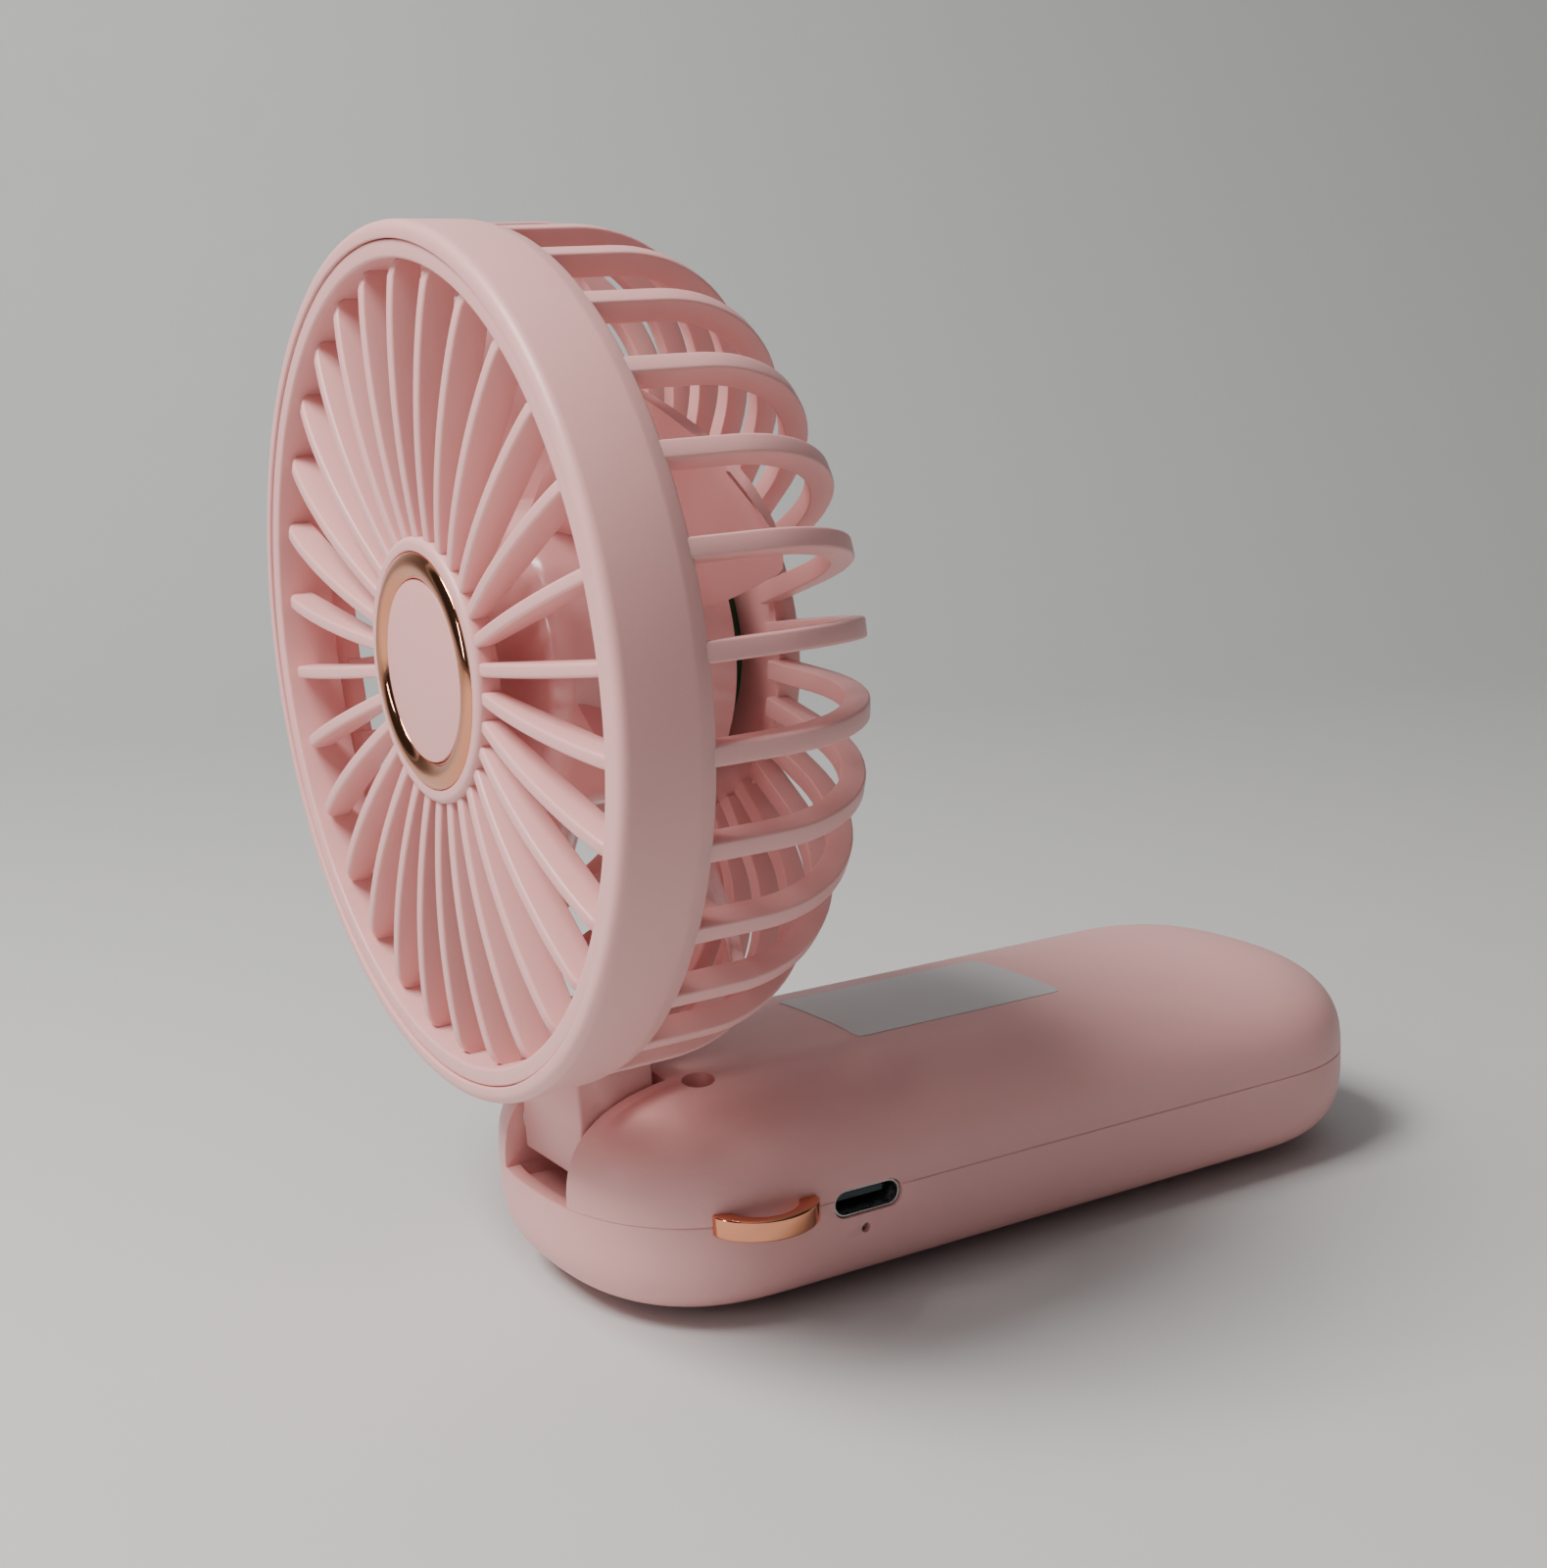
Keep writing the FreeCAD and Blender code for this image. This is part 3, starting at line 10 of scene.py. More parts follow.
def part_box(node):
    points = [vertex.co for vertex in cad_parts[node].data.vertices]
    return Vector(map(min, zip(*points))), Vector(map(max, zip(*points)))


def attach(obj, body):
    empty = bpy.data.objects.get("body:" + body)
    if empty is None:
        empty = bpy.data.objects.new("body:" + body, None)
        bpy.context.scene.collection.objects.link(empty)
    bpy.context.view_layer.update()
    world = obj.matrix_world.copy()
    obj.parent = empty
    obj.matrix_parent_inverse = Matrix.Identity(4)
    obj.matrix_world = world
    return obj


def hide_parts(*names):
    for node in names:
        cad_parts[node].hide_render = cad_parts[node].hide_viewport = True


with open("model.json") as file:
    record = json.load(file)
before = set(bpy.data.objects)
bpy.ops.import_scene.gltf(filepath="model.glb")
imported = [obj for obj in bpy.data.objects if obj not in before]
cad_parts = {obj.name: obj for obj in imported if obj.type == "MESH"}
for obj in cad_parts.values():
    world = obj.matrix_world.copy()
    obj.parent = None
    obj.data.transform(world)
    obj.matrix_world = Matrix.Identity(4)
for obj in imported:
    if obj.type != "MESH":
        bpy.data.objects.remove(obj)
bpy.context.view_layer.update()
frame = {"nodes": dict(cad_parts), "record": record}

MM = 0.001
JOINTS = {joint["name"]: joint for joint in frame["record"]["behaviour"]["joints"]}


# ---------------------------------------------------------------- camera
CAMERA_PLACE = Vector((-147.95, -216.3, 103.17))
CAMERA_YAW, CAMERA_PITCH, CAMERA_ROLL = (math.radians(angle) for angle in (-31.1, 10.62, -2.44))
FOCAL_SHARE = 2213.0 / 1600.0    # focal length over the picture's long side


def make_camera():
    """Where the photograph's camera stood, and how it was turned, pitched and rolled."""
    yaw, pitch, roll = CAMERA_YAW, CAMERA_PITCH, CAMERA_ROLL
    back = Vector((math.sin(yaw) * math.cos(pitch), -math.cos(yaw) * math.cos(pitch),
                   math.sin(pitch)))
    right = Vector((math.cos(yaw), math.sin(yaw), 0))
    up = back.cross(right)
    rolled_right = math.cos(roll) * right + math.sin(roll) * up
    rolled_up = math.cos(roll) * up - math.sin(roll) * right
    data = bpy.data.cameras.new("camera")
    data.sensor_width = 36.0
    data.lens = FOCAL_SHARE * data.sensor_width
    data.clip_start, data.clip_end = 0.01, 20
    camera = bpy.data.objects.new("camera", data)
    turn = Matrix((rolled_right, rolled_up, back)).transposed().to_4x4()
    camera.matrix_world = Matrix.Translation(CAMERA_PLACE * MM) @ turn
    bpy.context.scene.collection.objects.link(camera)
    bpy.context.scene.camera = camera


# ---------------------------------------------------------------- materials
def node_tree(name):
    """A new material with its nodes, its links and its shader."""
    material = bpy.data.materials.new(name)
    material.use_nodes = True
    nodes = material.node_tree.nodes
    return material, nodes, material.node_tree.links, nodes["Principled BSDF"]


def noise(nodes, links, scale, detail, stretch=None):
    """A noise texture in object space, so that it stays on the piece when it moves."""
    place = nodes.new("ShaderNodeTexCoord")
    pattern = nodes.new("ShaderNodeTexNoise")
    pattern.inputs["Scale"].default_value = scale
    pattern.inputs["Detail"].default_value = detail
    source = place.outputs["Object"]
    if stretch:
        mapping = nodes.new("ShaderNodeMapping")
        mapping.inputs["Scale"].default_value = stretch
        links.new(source, mapping.inputs["Vector"])
        source = mapping.outputs["Vector"]
    links.new(source, pattern.inputs["Vector"])
    return pattern


def remap(nodes, links, source, low, high):
    """A noise's middle range stretched between two values."""
    span = nodes.new("ShaderNodeMapRange")
    span.inputs["From Min"].default_value = 0.3
    span.inputs["From Max"].default_value = 0.7
    span.inputs["To Min"].default_value = low
    span.inputs["To Max"].default_value = high
    links.new(source, span.inputs["Value"])
    return span.outputs["Result"]


def blend_colours(nodes, links, factor, first, second):
    """A colour between two, by a factor from another node."""
    mix = nodes.new("ShaderNodeMix")
    mix.data_type = "RGBA"
    mix.inputs["A"].default_value = (*first, 1)
    mix.inputs["B"].default_value = (*second, 1)
    links.new(factor, mix.inputs["Factor"])
    return mix.outputs["Result"]


MATERIALS = {}


def surface(name, colour, second, roughness, grain, grain_height, metallic=0.0,
            patch_scale=60.0, coat=0.0, stretch=None, subsurface=0.0):
    """Cloudy two-tone colour, uneven roughness and a fine grain: moulded or ground surfaces."""
    material, nodes, links, shader = node_tree(name)
    patches = noise(nodes, links, patch_scale, 4.0)
    share = remap(nodes, links, patches.outputs["Fac"], 0.0, 1.0)
    links.new(blend_colours(nodes, links, share, colour, second), shader.inputs["Base Color"])
    fine = noise(nodes, links, grain, 2.0, stretch)
    uneven = remap(nodes, links, fine.outputs["Fac"], roughness * 0.88, roughness * 1.12)
    links.new(uneven, shader.inputs["Roughness"])
    bump = nodes.new("ShaderNodeBump")
    bump.inputs["Strength"].default_value = 1.0
    bump.inputs["Distance"].default_value = grain_height * MM
    links.new(fine.outputs["Fac"], bump.inputs["Height"])
    links.new(bump.outputs["Normal"], shader.inputs["Normal"])
    shader.inputs["Metallic"].default_value = metallic
    shader.inputs["Coat Weight"].default_value = coat
    shader.inputs["Coat Roughness"].default_value = 0.25
    if subsurface:
        shader.inputs["Subsurface Weight"].default_value = subsurface
        shader.inputs["Subsurface Radius"].default_value = (1.0, 0.45, 0.4)
        shader.inputs["Subsurface Scale"].default_value = 1.2 * MM
    MATERIALS[name] = material


PINK = (0.825, 0.44, 0.424)
PINK_SECOND = (0.81, 0.425, 0.41)
surface("pink_shell", PINK, PINK_SECOND, 0.45, 2600, 0.012, subsurface=0.15)
surface("pink_cage", PINK, PINK_SECOND, 0.4, 2600, 0.012, subsurface=0.15)
# Blade pink is a lighter copy of the shells' pink: painted light, standing in for light that
# shines through the thin blades. The gloss and clear coat are the blades' own.
surface("pink_blade", (0.86, 0.46, 0.45), (0.84, 0.445, 0.435), 0.2, 900, 0.004, coat=0.4)
surface("pink_button", PINK, PINK_SECOND, 0.42, 2600, 0.008)
surface("pink_satin", (0.80, 0.405, 0.39), (0.79, 0.395, 0.38), 0.5, 3000, 0.006)
surface("rose_gold", (0.80, 0.34, 0.20), (0.79, 0.33, 0.19), 0.08, 500, 0.002,
        metallic=1.0)
surface("rose_gold_bar", (0.80, 0.34, 0.20), (0.79, 0.33, 0.19), 0.1, 500, 0.003,
        metallic=1.0)
surface("label", (0.62, 0.60, 0.60), (0.60, 0.58, 0.58), 0.38, 1800, 0.004)
surface("steel_screw", (0.36, 0.36, 0.37), (0.30, 0.30, 0.31), 0.35, 900, 0.008,
        metallic=1.0)
surface("steel_socket", (0.56, 0.55, 0.54), (0.48, 0.47, 0.46), 0.28, 700, 0.006,
        metallic=1.0, stretch=(1, 8, 1))
surface("black_plastic", (0.05, 0.07, 0.078), (0.058, 0.08, 0.087), 0.5, 2200, 0.01)
surface("light_guide", (0.20, 0.12, 0.12), (0.15, 0.09, 0.09), 0.25, 900, 0.004, coat=0.5)
surface("white_plastic", (0.78, 0.77, 0.72), (0.72, 0.71, 0.66), 0.4, 1500, 0.006)
surface("board", (0.012, 0.075, 0.03), (0.02, 0.10, 0.045), 0.32, 400, 0.02,
        patch_scale=260)
surface("cell_wrap", (0.02, 0.09, 0.26), (0.03, 0.11, 0.30), 0.3, 300, 0.01, coat=0.3)
surface("lead_jacket", (0.015, 0.015, 0.015), (0.025, 0.025, 0.025), 0.55, 1200, 0.012)
surface("steel_pin", (0.50, 0.50, 0.51), (0.44, 0.44, 0.45), 0.24, 1100, 0.004,
        metallic=1.0, stretch=(6, 1, 1))
surface("nylon", (0.72, 0.70, 0.62), (0.66, 0.64, 0.57), 0.45, 1200, 0.008)
surface("brass_sleeve", (0.62, 0.43, 0.14), (0.55, 0.37, 0.12), 0.3, 900, 0.006,
        metallic=1.0, stretch=(1, 1, 9))
surface("steel_core", (0.17, 0.17, 0.18), (0.12, 0.12, 0.13), 0.4, 1500, 0.02,
        metallic=1.0, stretch=(9, 1, 1))
surface("copper", (0.56, 0.20, 0.07), (0.45, 0.15, 0.05), 0.3, 2400, 0.05, metallic=1.0,
        stretch=(1, 1, 6))
surface("steel_cup", (0.32, 0.32, 0.33), (0.27, 0.27, 0.28), 0.3, 700, 0.005, metallic=1.0)
surface("magnet", (0.02, 0.02, 0.021), (0.035, 0.035, 0.036), 0.6, 1500, 0.02)
SLOT_OF = {part["node"]: part["material_slot"] for part in frame["record"]["subparts"]}


# ---------------------------------------------------------------- mesh helpers
def sweep(mesh, sections):
    """Join rings of points, all of the same count, into a tube with closed ends."""
    rings = [[mesh.verts.new(point) for point in section] for section in sections]
    count = len(rings[0])
    for first, second in zip(rings, rings[1:]):
        for index in range(count):
            following = (index + 1) % count
            mesh.faces.new((first[index], first[following], second[following], second[index]))
    mesh.faces.new(rings[0][::-1])
    mesh.faces.new(rings[-1])


def lathe(mesh, profile, segments=180):
    """Turn a closed outline of (radius, height) about Z. Points at radius 0 stay single."""
    rings = []
    for radius, height in profile:
        if radius == 0:
            rings.append([mesh.verts.new((0, 0, height))])
            continue
        angles = [2 * math.pi * index / segments for index in range(segments)]
        rings.append([mesh.verts.new((radius * math.cos(angle), radius * math.sin(angle),
                                      height)) for angle in angles])
    for first, second in zip(rings, rings[1:] + rings[:1]):
        if len(first) == 1 and len(second) == 1:
            continue
        for index in range(segments):
            following = (index + 1) % segments
            corners = [first[index % len(first)], first[following % len(first)],
                       second[following % len(second)], second[index % len(second)]]
            mesh.faces.new(list(dict.fromkeys(corners)))


def rounded(corners, steps=4):
    """Replace each (x, y, radius) corner of a closed outline by an arc of that radius."""
    points = []
    count = len(corners)
    for index, (x, y, radius) in enumerate(corners):
        here = Vector((x, y))
        back = (Vector(corners[index - 1][:2]) - here).normalized()
        ahead = (Vector(corners[(index + 1) % count][:2]) - here).normalized()
        if radius == 0:
            points.append((here.x, here.y))
            continue
        half = math.acos(max(-1, min(1, back.dot(ahead)))) / 2
        reach = radius / math.tan(half)
        centre = here + (back + ahead).normalized() * (radius / math.sin(half))
        start = here + back * reach - centre
        end = here + ahead * reach - centre
        sweep_angle = start.angle_signed(end)
        for step in range(steps + 1):
            angle = -sweep_angle * step / steps
            turned = Vector((start.x * math.cos(angle) - start.y * math.sin(angle),
                             start.x * math.sin(angle) + start.y * math.cos(angle)))
            points.append((centre.x + turned.x, centre.y + turned.y))
    return points


def to_data(mesh, name="tool"):
    """Close a mesh under construction, with its faces turned outward."""
    bmesh.ops.recalc_face_normals(mesh, faces=mesh.faces)
    data = bpy.data.meshes.new(name)
    mesh.to_mesh(data)
    mesh.free()
    return data


def finish_piece(name, mesh, body, node, place=None, angle=35.0):
    """The same as finish_data, for a mesh that is still under construction."""
    finish_data(name, to_data(mesh, name), body, node, place, angle)


def finish_data(name, data, body, node, place=None, angle=35.0):
    """Place a mesh in millimetres, and make it a shaded object that stands for a CAD node."""
    data.transform(place or Matrix.Identity(4))
    data.transform(Matrix.Scale(MM, 4))
    piece = bpy.data.objects.new(name, data)
    bpy.context.scene.collection.objects.link(piece)
    data.materials.append(MATERIALS[SLOT_OF[node]])
    data.shade_smooth()
    data.set_sharp_from_angle(angle=math.radians(angle))
    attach(piece, body)
    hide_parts(node)


def cut_and_join(data, joined=(), cutters=(), limits=(), bevel=0.0):
    """Booleans on a mesh: join some, cut others away, stay inside others, then ease edges."""
    target = bpy.data.objects.new("target", data)
    bpy.context.scene.collection.objects.link(target)
    helpers = [target]
    for operation, meshes in (("UNION", joined), ("DIFFERENCE", cutters),
                              ("INTERSECT", limits)):
        for tool in meshes:
            helper = bpy.data.objects.new("tool", tool)
            bpy.context.scene.collection.objects.link(helper)
            helpers.append(helper)
            modifier = target.modifiers.new(operation, "BOOLEAN")
            modifier.operation = operation
            modifier.object = helper
            modifier.solver = "EXACT"
    if bevel:
        modifier = target.modifiers.new("ease", "BEVEL")
        modifier.width = bevel
        modifier.segments = 2
        modifier.limit_method = "ANGLE"
        modifier.angle_limit = math.radians(40)
    bpy.context.view_layer.update()
    graph = bpy.context.evaluated_depsgraph_get()
    result = bpy.data.meshes.new_from_object(target.evaluated_get(graph))
    for helper in helpers:
        bpy.data.objects.remove(helper)
    return result


def block(low, high):
    """A closed box between two corners."""
    mesh = bmesh.new()
    corners = [(low[0], low[1]), (high[0], low[1]), (high[0], high[1]), (low[0], high[1])]
    sweep(mesh, [[(x, y, z) for x, y in corners] for z in (low[2], high[2])])
    return to_data(mesh)


def rod(start, end, radius, segments=48):
    """A closed cylinder between two points."""
    start, end = Vector(start), Vector(end)
    turn = (end - start).to_track_quat("Z", "Y")
    mesh = bmesh.new()
    ring = [turn @ Vector((radius * math.cos(2 * math.pi * index / segments),
                           radius * math.sin(2 * math.pi * index / segments), 0))
            for index in range(segments)]
    sweep(mesh, [[start + point for point in ring], [end + point for point in ring]])
    return to_data(mesh)


def slot_rod(centre, width, height, start_y, end_y, steps=12):
    """A rod along Y whose section is a slot with round ends."""
    radius = height / 2
    ring = []
    for side in (1, -1):
        for step in range(steps + 1):
            angle = math.pi * step / steps - math.pi / 2
            x = side * (width / 2 - radius + radius * math.cos(angle))
            ring.append((centre[0] + x, centre[1] + side * radius * math.sin(angle)))
    mesh = bmesh.new()
    sweep(mesh, [[(x, y, z) for x, z in ring] for y in (start_y, end_y)])
    return to_data(mesh)


# ---------------------------------------------------------------- the head's own frame
SPIN = JOINTS["fan_spin"]
HEAD_CENTRE = Vector(SPIN["pos_m"]) / MM
REAR = Vector(SPIN["axis"]).normalized()
NEAR = Vector((0, -1, 0))
HEAD = Matrix((NEAR.cross(REAR), NEAR, REAR)).transposed().to_4x4()
HEAD.translation = HEAD_CENTRE
HINGE = Vector(JOINTS["head_fold"]["pos_m"]) / MM
HINGE_LOCAL = HEAD.inverted() @ HINGE

# Heights are along the fan's axis, rearward from the plane of fan_spin's position.
BAND_RADIUS, BAND_REAR_RADIUS, BAND_INNER = 46.93, 46.3, 44.0
BAND_FRONT, BAND_REAR, SEAT_DEPTH = -0.3, 10.1, 6.9
SEAM_RADIUS, SEAM_GAP = 45.0, 0.12
RIB_COUNT, RIB_WIDTH, RIB_DEPTH, RIB_BEND = 30, 2.1, 2.6, 18.0
RIB_FOOT_LOW, RIB_FOOT_HIGH, RIB_HUB_REAR, RIB_SLOPE = 8.4, 15.0, 34.5, 0.12
CHANNEL_RADIUS, CHANNEL_DEPTH, CHANNEL_WIDTH = 46.6, 4.0, 9.0
HUB_RADIUS, HUB_WALL, HUB_FRONT, HUB_REAR = 20.0, 1.6, 33.0, 36.0
HUB_PLATE_REAR, HUB_BORE = 34.6, 3.3
NECK_HALF, NECK_BELOW, NECK_ABOVE, NECK_FRONT, NECK_REAR = 7.6, 3.3, 11.9, 3.1, 6.4
PIN_BORE = 2.04
SPOKE_COUNT, SPOKE_HALF, SPOKE_TURN = 30, 0.72, math.radians(0.5)
GRILLE_OPENING, GRILLE_HUB, MEDALLION_SEAT = 43.0, 14.4, 1.5
RING_INNER, RING_OUTER = 9.95, 12.8


def rib_path(outer_radius):
    """Outer line of a rib as (radius, height, outward normal), from band to hub."""
    lean = math.atan(RIB_SLOPE)
    hub = HUB_RADIUS - HUB_WALL / 2
    corner = RIB_HUB_REAR + (outer_radius - hub) * RIB_SLOPE
    reach = RIB_BEND * math.tan((math.pi / 2 + lean) / 2)
    centre = (outer_radius - RIB_BEND, corner - reach)
    path = [(outer_radius, RIB_FOOT_LOW + (RIB_FOOT_HIGH - RIB_FOOT_LOW) * step / 3, 0.0)
            for step in range(4)]
    steps = 22
    for step in range(steps + 1):
        angle = (math.pi / 2 + lean) * step / steps
        path.append((centre[0] + RIB_BEND * math.cos(angle),
                     centre[1] + RIB_BEND * math.sin(angle), angle))
    path.append((hub, RIB_HUB_REAR, math.pi / 2 + lean))
    return path


def add_rib(mesh, outer_radius, depth, width, turn, outer_round, inner_round):
    """Sweep a rounded section along the rib's line, in the half plane at angle turn."""
    half = width / 2
    section = rounded([(-half, 0, outer_round), (half, 0, outer_round),
                       (half, -depth, inner_round), (-half, -depth, inner_round)], 3)
    across = Vector((-math.sin(turn), math.cos(turn), 0))
    outward = Vector((math.cos(turn), math.sin(turn), 0))
    rings = []
    for radius, height, angle in rib_path(outer_radius):
        normal = outward * math.cos(angle) + Vector((0, 0, math.sin(angle)))
        base = outward * radius + Vector((0, 0, height))
        rings.append([base + across * x + normal * y for x, y in section])
    sweep(mesh, rings)


def make_rear_cage():
    """Band, ribs, the wide lead channel, hub and neck as one moulding."""
    mesh = bmesh.new()
    lathe(mesh, rounded([
        (SEAM_RADIUS, BAND_FRONT, 0.15), (BAND_RADIUS, BAND_FRONT, 1.1),
        (BAND_RADIUS - 0.25, 8.2, 2.5), (BAND_REAR_RADIUS - 0.1, BAND_REAR, 0.45),
        (BAND_INNER, BAND_REAR, 0.3), (BAND_INNER, SEAT_DEPTH, 0),
        (SEAM_RADIUS, SEAT_DEPTH, 0)]), 240)
    hub_inner = HUB_RADIUS - HUB_WALL
    lathe(mesh, rounded([
        (HUB_BORE, HUB_FRONT, 0), (HUB_RADIUS, HUB_FRONT, 0.25), (HUB_RADIUS, HUB_REAR, 0.6),
        (hub_inner, HUB_REAR, 0.25), (hub_inner, HUB_PLATE_REAR, 0),
        (HUB_BORE, HUB_PLATE_REAR, 0)]), 144)
    for index in range(RIB_COUNT):
        turn = 2 * math.pi * index / RIB_COUNT
        if index != RIB_COUNT // 2:
            add_rib(mesh, BAND_REAR_RADIUS, RIB_DEPTH, RIB_WIDTH, turn, 0.3, 0.15)
    add_rib(mesh, CHANNEL_RADIUS, CHANNEL_DEPTH, CHANNEL_WIDTH, math.pi, 0.8, 0.4)
    joined = bmesh.new()
    for part in (to_data(mesh), make_neck()):
        joined.from_mesh(part)
    data = bpy.data.meshes.new("rear_cage_moulding")
    joined.to_mesh(data)
    joined.free()
    finish_data("cage_moulding", data, "head", "rear_cage", HEAD, 50)


def make_neck():
    """The block between the band and the hinge, with the bore for the pins."""
    low, high = HINGE_LOCAL.x - NECK_BELOW, HINGE_LOCAL.x + NECK_ABOVE
    front, rear = HINGE_LOCAL.z - NECK_FRONT, HINGE_LOCAL.z + NECK_REAR
    outline = rounded([(low, front, 0), (high, front, 0), (high, rear, 0), (low, rear, 5.0)], 10)
    mesh = bmesh.new()
    sweep(mesh, [[(x, y, z) for x, z in outline] for y in (-NECK_HALF, NECK_HALF)])
    bore = rod((HINGE_LOCAL.x, -12, HINGE_LOCAL.z), (HINGE_LOCAL.x, 12, HINGE_LOCAL.z), PIN_BORE)
    return cut_and_join(to_data(mesh), cutters=[bore], bevel=0.3)


def make_front_grille():
    """Ring, spokes and hub as one moulding, with a seat for the medallion in the hub."""
    mesh = bmesh.new()
    outer, rear = SEAM_RADIUS - SEAM_GAP, SEAT_DEPTH - 0.1
    lathe(mesh, rounded([(GRILLE_OPENING, 0, 0.35), (outer, 0, 0.2), (outer, rear, 0.1),
                         (GRILLE_OPENING, rear, 0.1)]), 240)
    hub_front, hub_rear, seat = 0.55, 3.2, 12.88
    lathe(mesh, rounded([
        (0, MEDALLION_SEAT, 0), (seat, MEDALLION_SEAT, 0), (seat, hub_front, 0.15),
        (GRILLE_HUB, hub_front, 0.7), (GRILLE_HUB, hub_rear, 0.2), (0, hub_rear, 0)]), 144)
    for index in range(SPOKE_COUNT):
        add_spoke(mesh, 2 * math.pi * index / SPOKE_COUNT + SPOKE_TURN)
    finish_piece("grille_moulding", mesh, "head", "front_grille", HEAD, 50)


def add_spoke(mesh, turn):
    """A radial fin whose rounded front edge bows forward between hub and ring."""
    outward = Vector((math.cos(turn), math.sin(turn), 0))
    across = Vector((-math.sin(turn), math.cos(turn), 0))
    half = SPOKE_HALF
    bite = 0.6    # how far a spoke's ends run into the hub and the ring
    start, end = GRILLE_HUB - bite, GRILLE_OPENING + bite
    steps = 26
    rings = []
    for step in range(steps + 1):
        share = step / steps
        radius = start + (end - start) * share
        bow = (radius - 29.0) / 14.0
        front = -0.05 + 0.95 * bow * bow + 0.22 * max(bow, 0) ** 6
        dip = max(0.0, (radius - (GRILLE_OPENING - 1.5)) / 1.5)
        front += 0.7 * dip * dip
        rear = 3.0 + 1.2 * share
        section = rounded([(-half, front, 0.34), (half, front, 0.34),
                           (half * 0.92, rear, 0.15), (-half * 0.92, rear, 0.15)], 4)
        rings.append([outward * radius + across * x + Vector((0, 0, z)) for x, z in section])
    sweep(mesh, rings)


def make_medallion():
    """The plated ring, whose crown is an arc in section, and the plain disc inside it."""
    mesh = bmesh.new()
    crest, crown_bow, crown_radius = 0.05, 1.9, 11.45
    steps = 28
    crown = []
    for step in range(steps + 1):
        radius = RING_OUTER + (RING_INNER - RING_OUTER) * step / steps
        fall = crown_bow - math.sqrt(crown_bow ** 2 - (radius - crown_radius) ** 2)
        crown.append((radius, crest + fall))
    lathe(mesh, [(RING_INNER, MEDALLION_SEAT), (RING_OUTER, MEDALLION_SEAT)] + crown, 240)
    finish_piece("medallion_ring", mesh, "head", "centre_ring", HEAD, 60)
    mesh = bmesh.new()
    disc, face = RING_INNER - 0.1, 0.6
    lathe(mesh, rounded([(0, MEDALLION_SEAT, 0), (disc, MEDALLION_SEAT, 0),
                         (disc, face, 0.15), (0, face, 0)]), 144)
    finish_piece("medallion_disc", mesh, "head", "centre_cap", HEAD)


def make_rear_cap():
    """A plain cap in the recess of the rear hub."""
    mesh = bmesh.new()
    radius, rear = HUB_RADIUS - HUB_WALL - 0.1, HUB_REAR + 0.1
    lathe(mesh, rounded([(0, HUB_PLATE_REAR, 0), (radius, HUB_PLATE_REAR, 0),
                         (radius, rear, 0.35), (0, rear, 0)]), 144)
    finish_piece("rear_cap", mesh, "head", "rear_hub_cap", HEAD)


# ---------------------------------------------------------------- impeller
BLADE_COUNT, BLADE_PHASE = 5, math.radians(50)
BLADE_TIP, BLADE_MIDDLE = 41.8, 18.3
BLADE_CHORD_ROOT, BLADE_CHORD_GAIN, BLADE_CHORD_TRIM = 20.0, 7.0, 6.0
BLADE_PITCH_ROOT, BLADE_PITCH_LOSS, BLADE_SWEEP = 50, 20, 6.0
BLADE_HALF_THICKNESS, BLADE_CAMBER = 0.65, 0.07
IMPELLER_HUB, IMPELLER_FRONT, IMPELLER_REAR = 17.2, 8.2, 29.6


def blade_point(radius, share, side, settings):
    """One point of a blade's skin: share runs -1..1 along the chord, side is +1 or -1."""
    chord, pitch, sweep_back, middle = settings
    slope = math.radians(pitch)
    along = share * chord / 2
    bow = chord * BLADE_CAMBER * (1 - share ** 2)
    thick = BLADE_HALF_THICKNESS * math.sqrt(max(0.0, 1 - abs(share) ** 3))
    lift = bow + side * thick
    across = along * math.cos(slope) - lift * math.sin(slope) + sweep_back
    height = along * math.sin(slope) + lift * math.cos(slope) + middle
    angle = across / radius
    return Vector((radius * math.cos(angle), radius * math.sin(angle), height))


def blade_rings(stations=14, chord_steps=12):
    """A blade's sections from inside the hub to the tip, whose corners are trimmed round."""
    root = IMPELLER_HUB - 1.0
    trim_start = 0.8
    shares = [-math.cos(math.pi * step / chord_steps) for step in range(chord_steps + 1)]
    rings = []
    for station in range(stations + 1):
        share = station / stations
        radius = root + (BLADE_TIP - root) * share
        chord = BLADE_CHORD_ROOT + BLADE_CHORD_GAIN * share ** 0.7
        if share > trim_start:
            chord -= BLADE_CHORD_TRIM * ((share - trim_start) / (1 - trim_start)) ** 2
        settings = (chord, BLADE_PITCH_ROOT - BLADE_PITCH_LOSS * share, BLADE_SWEEP * share,
                    BLADE_MIDDLE - 1.5 * share)
        rings.append([blade_point(radius, part, 1, settings) for part in shares]
                     + [blade_point(radius, -part, -1, settings) for part in shares[1:-1]])
    return rings


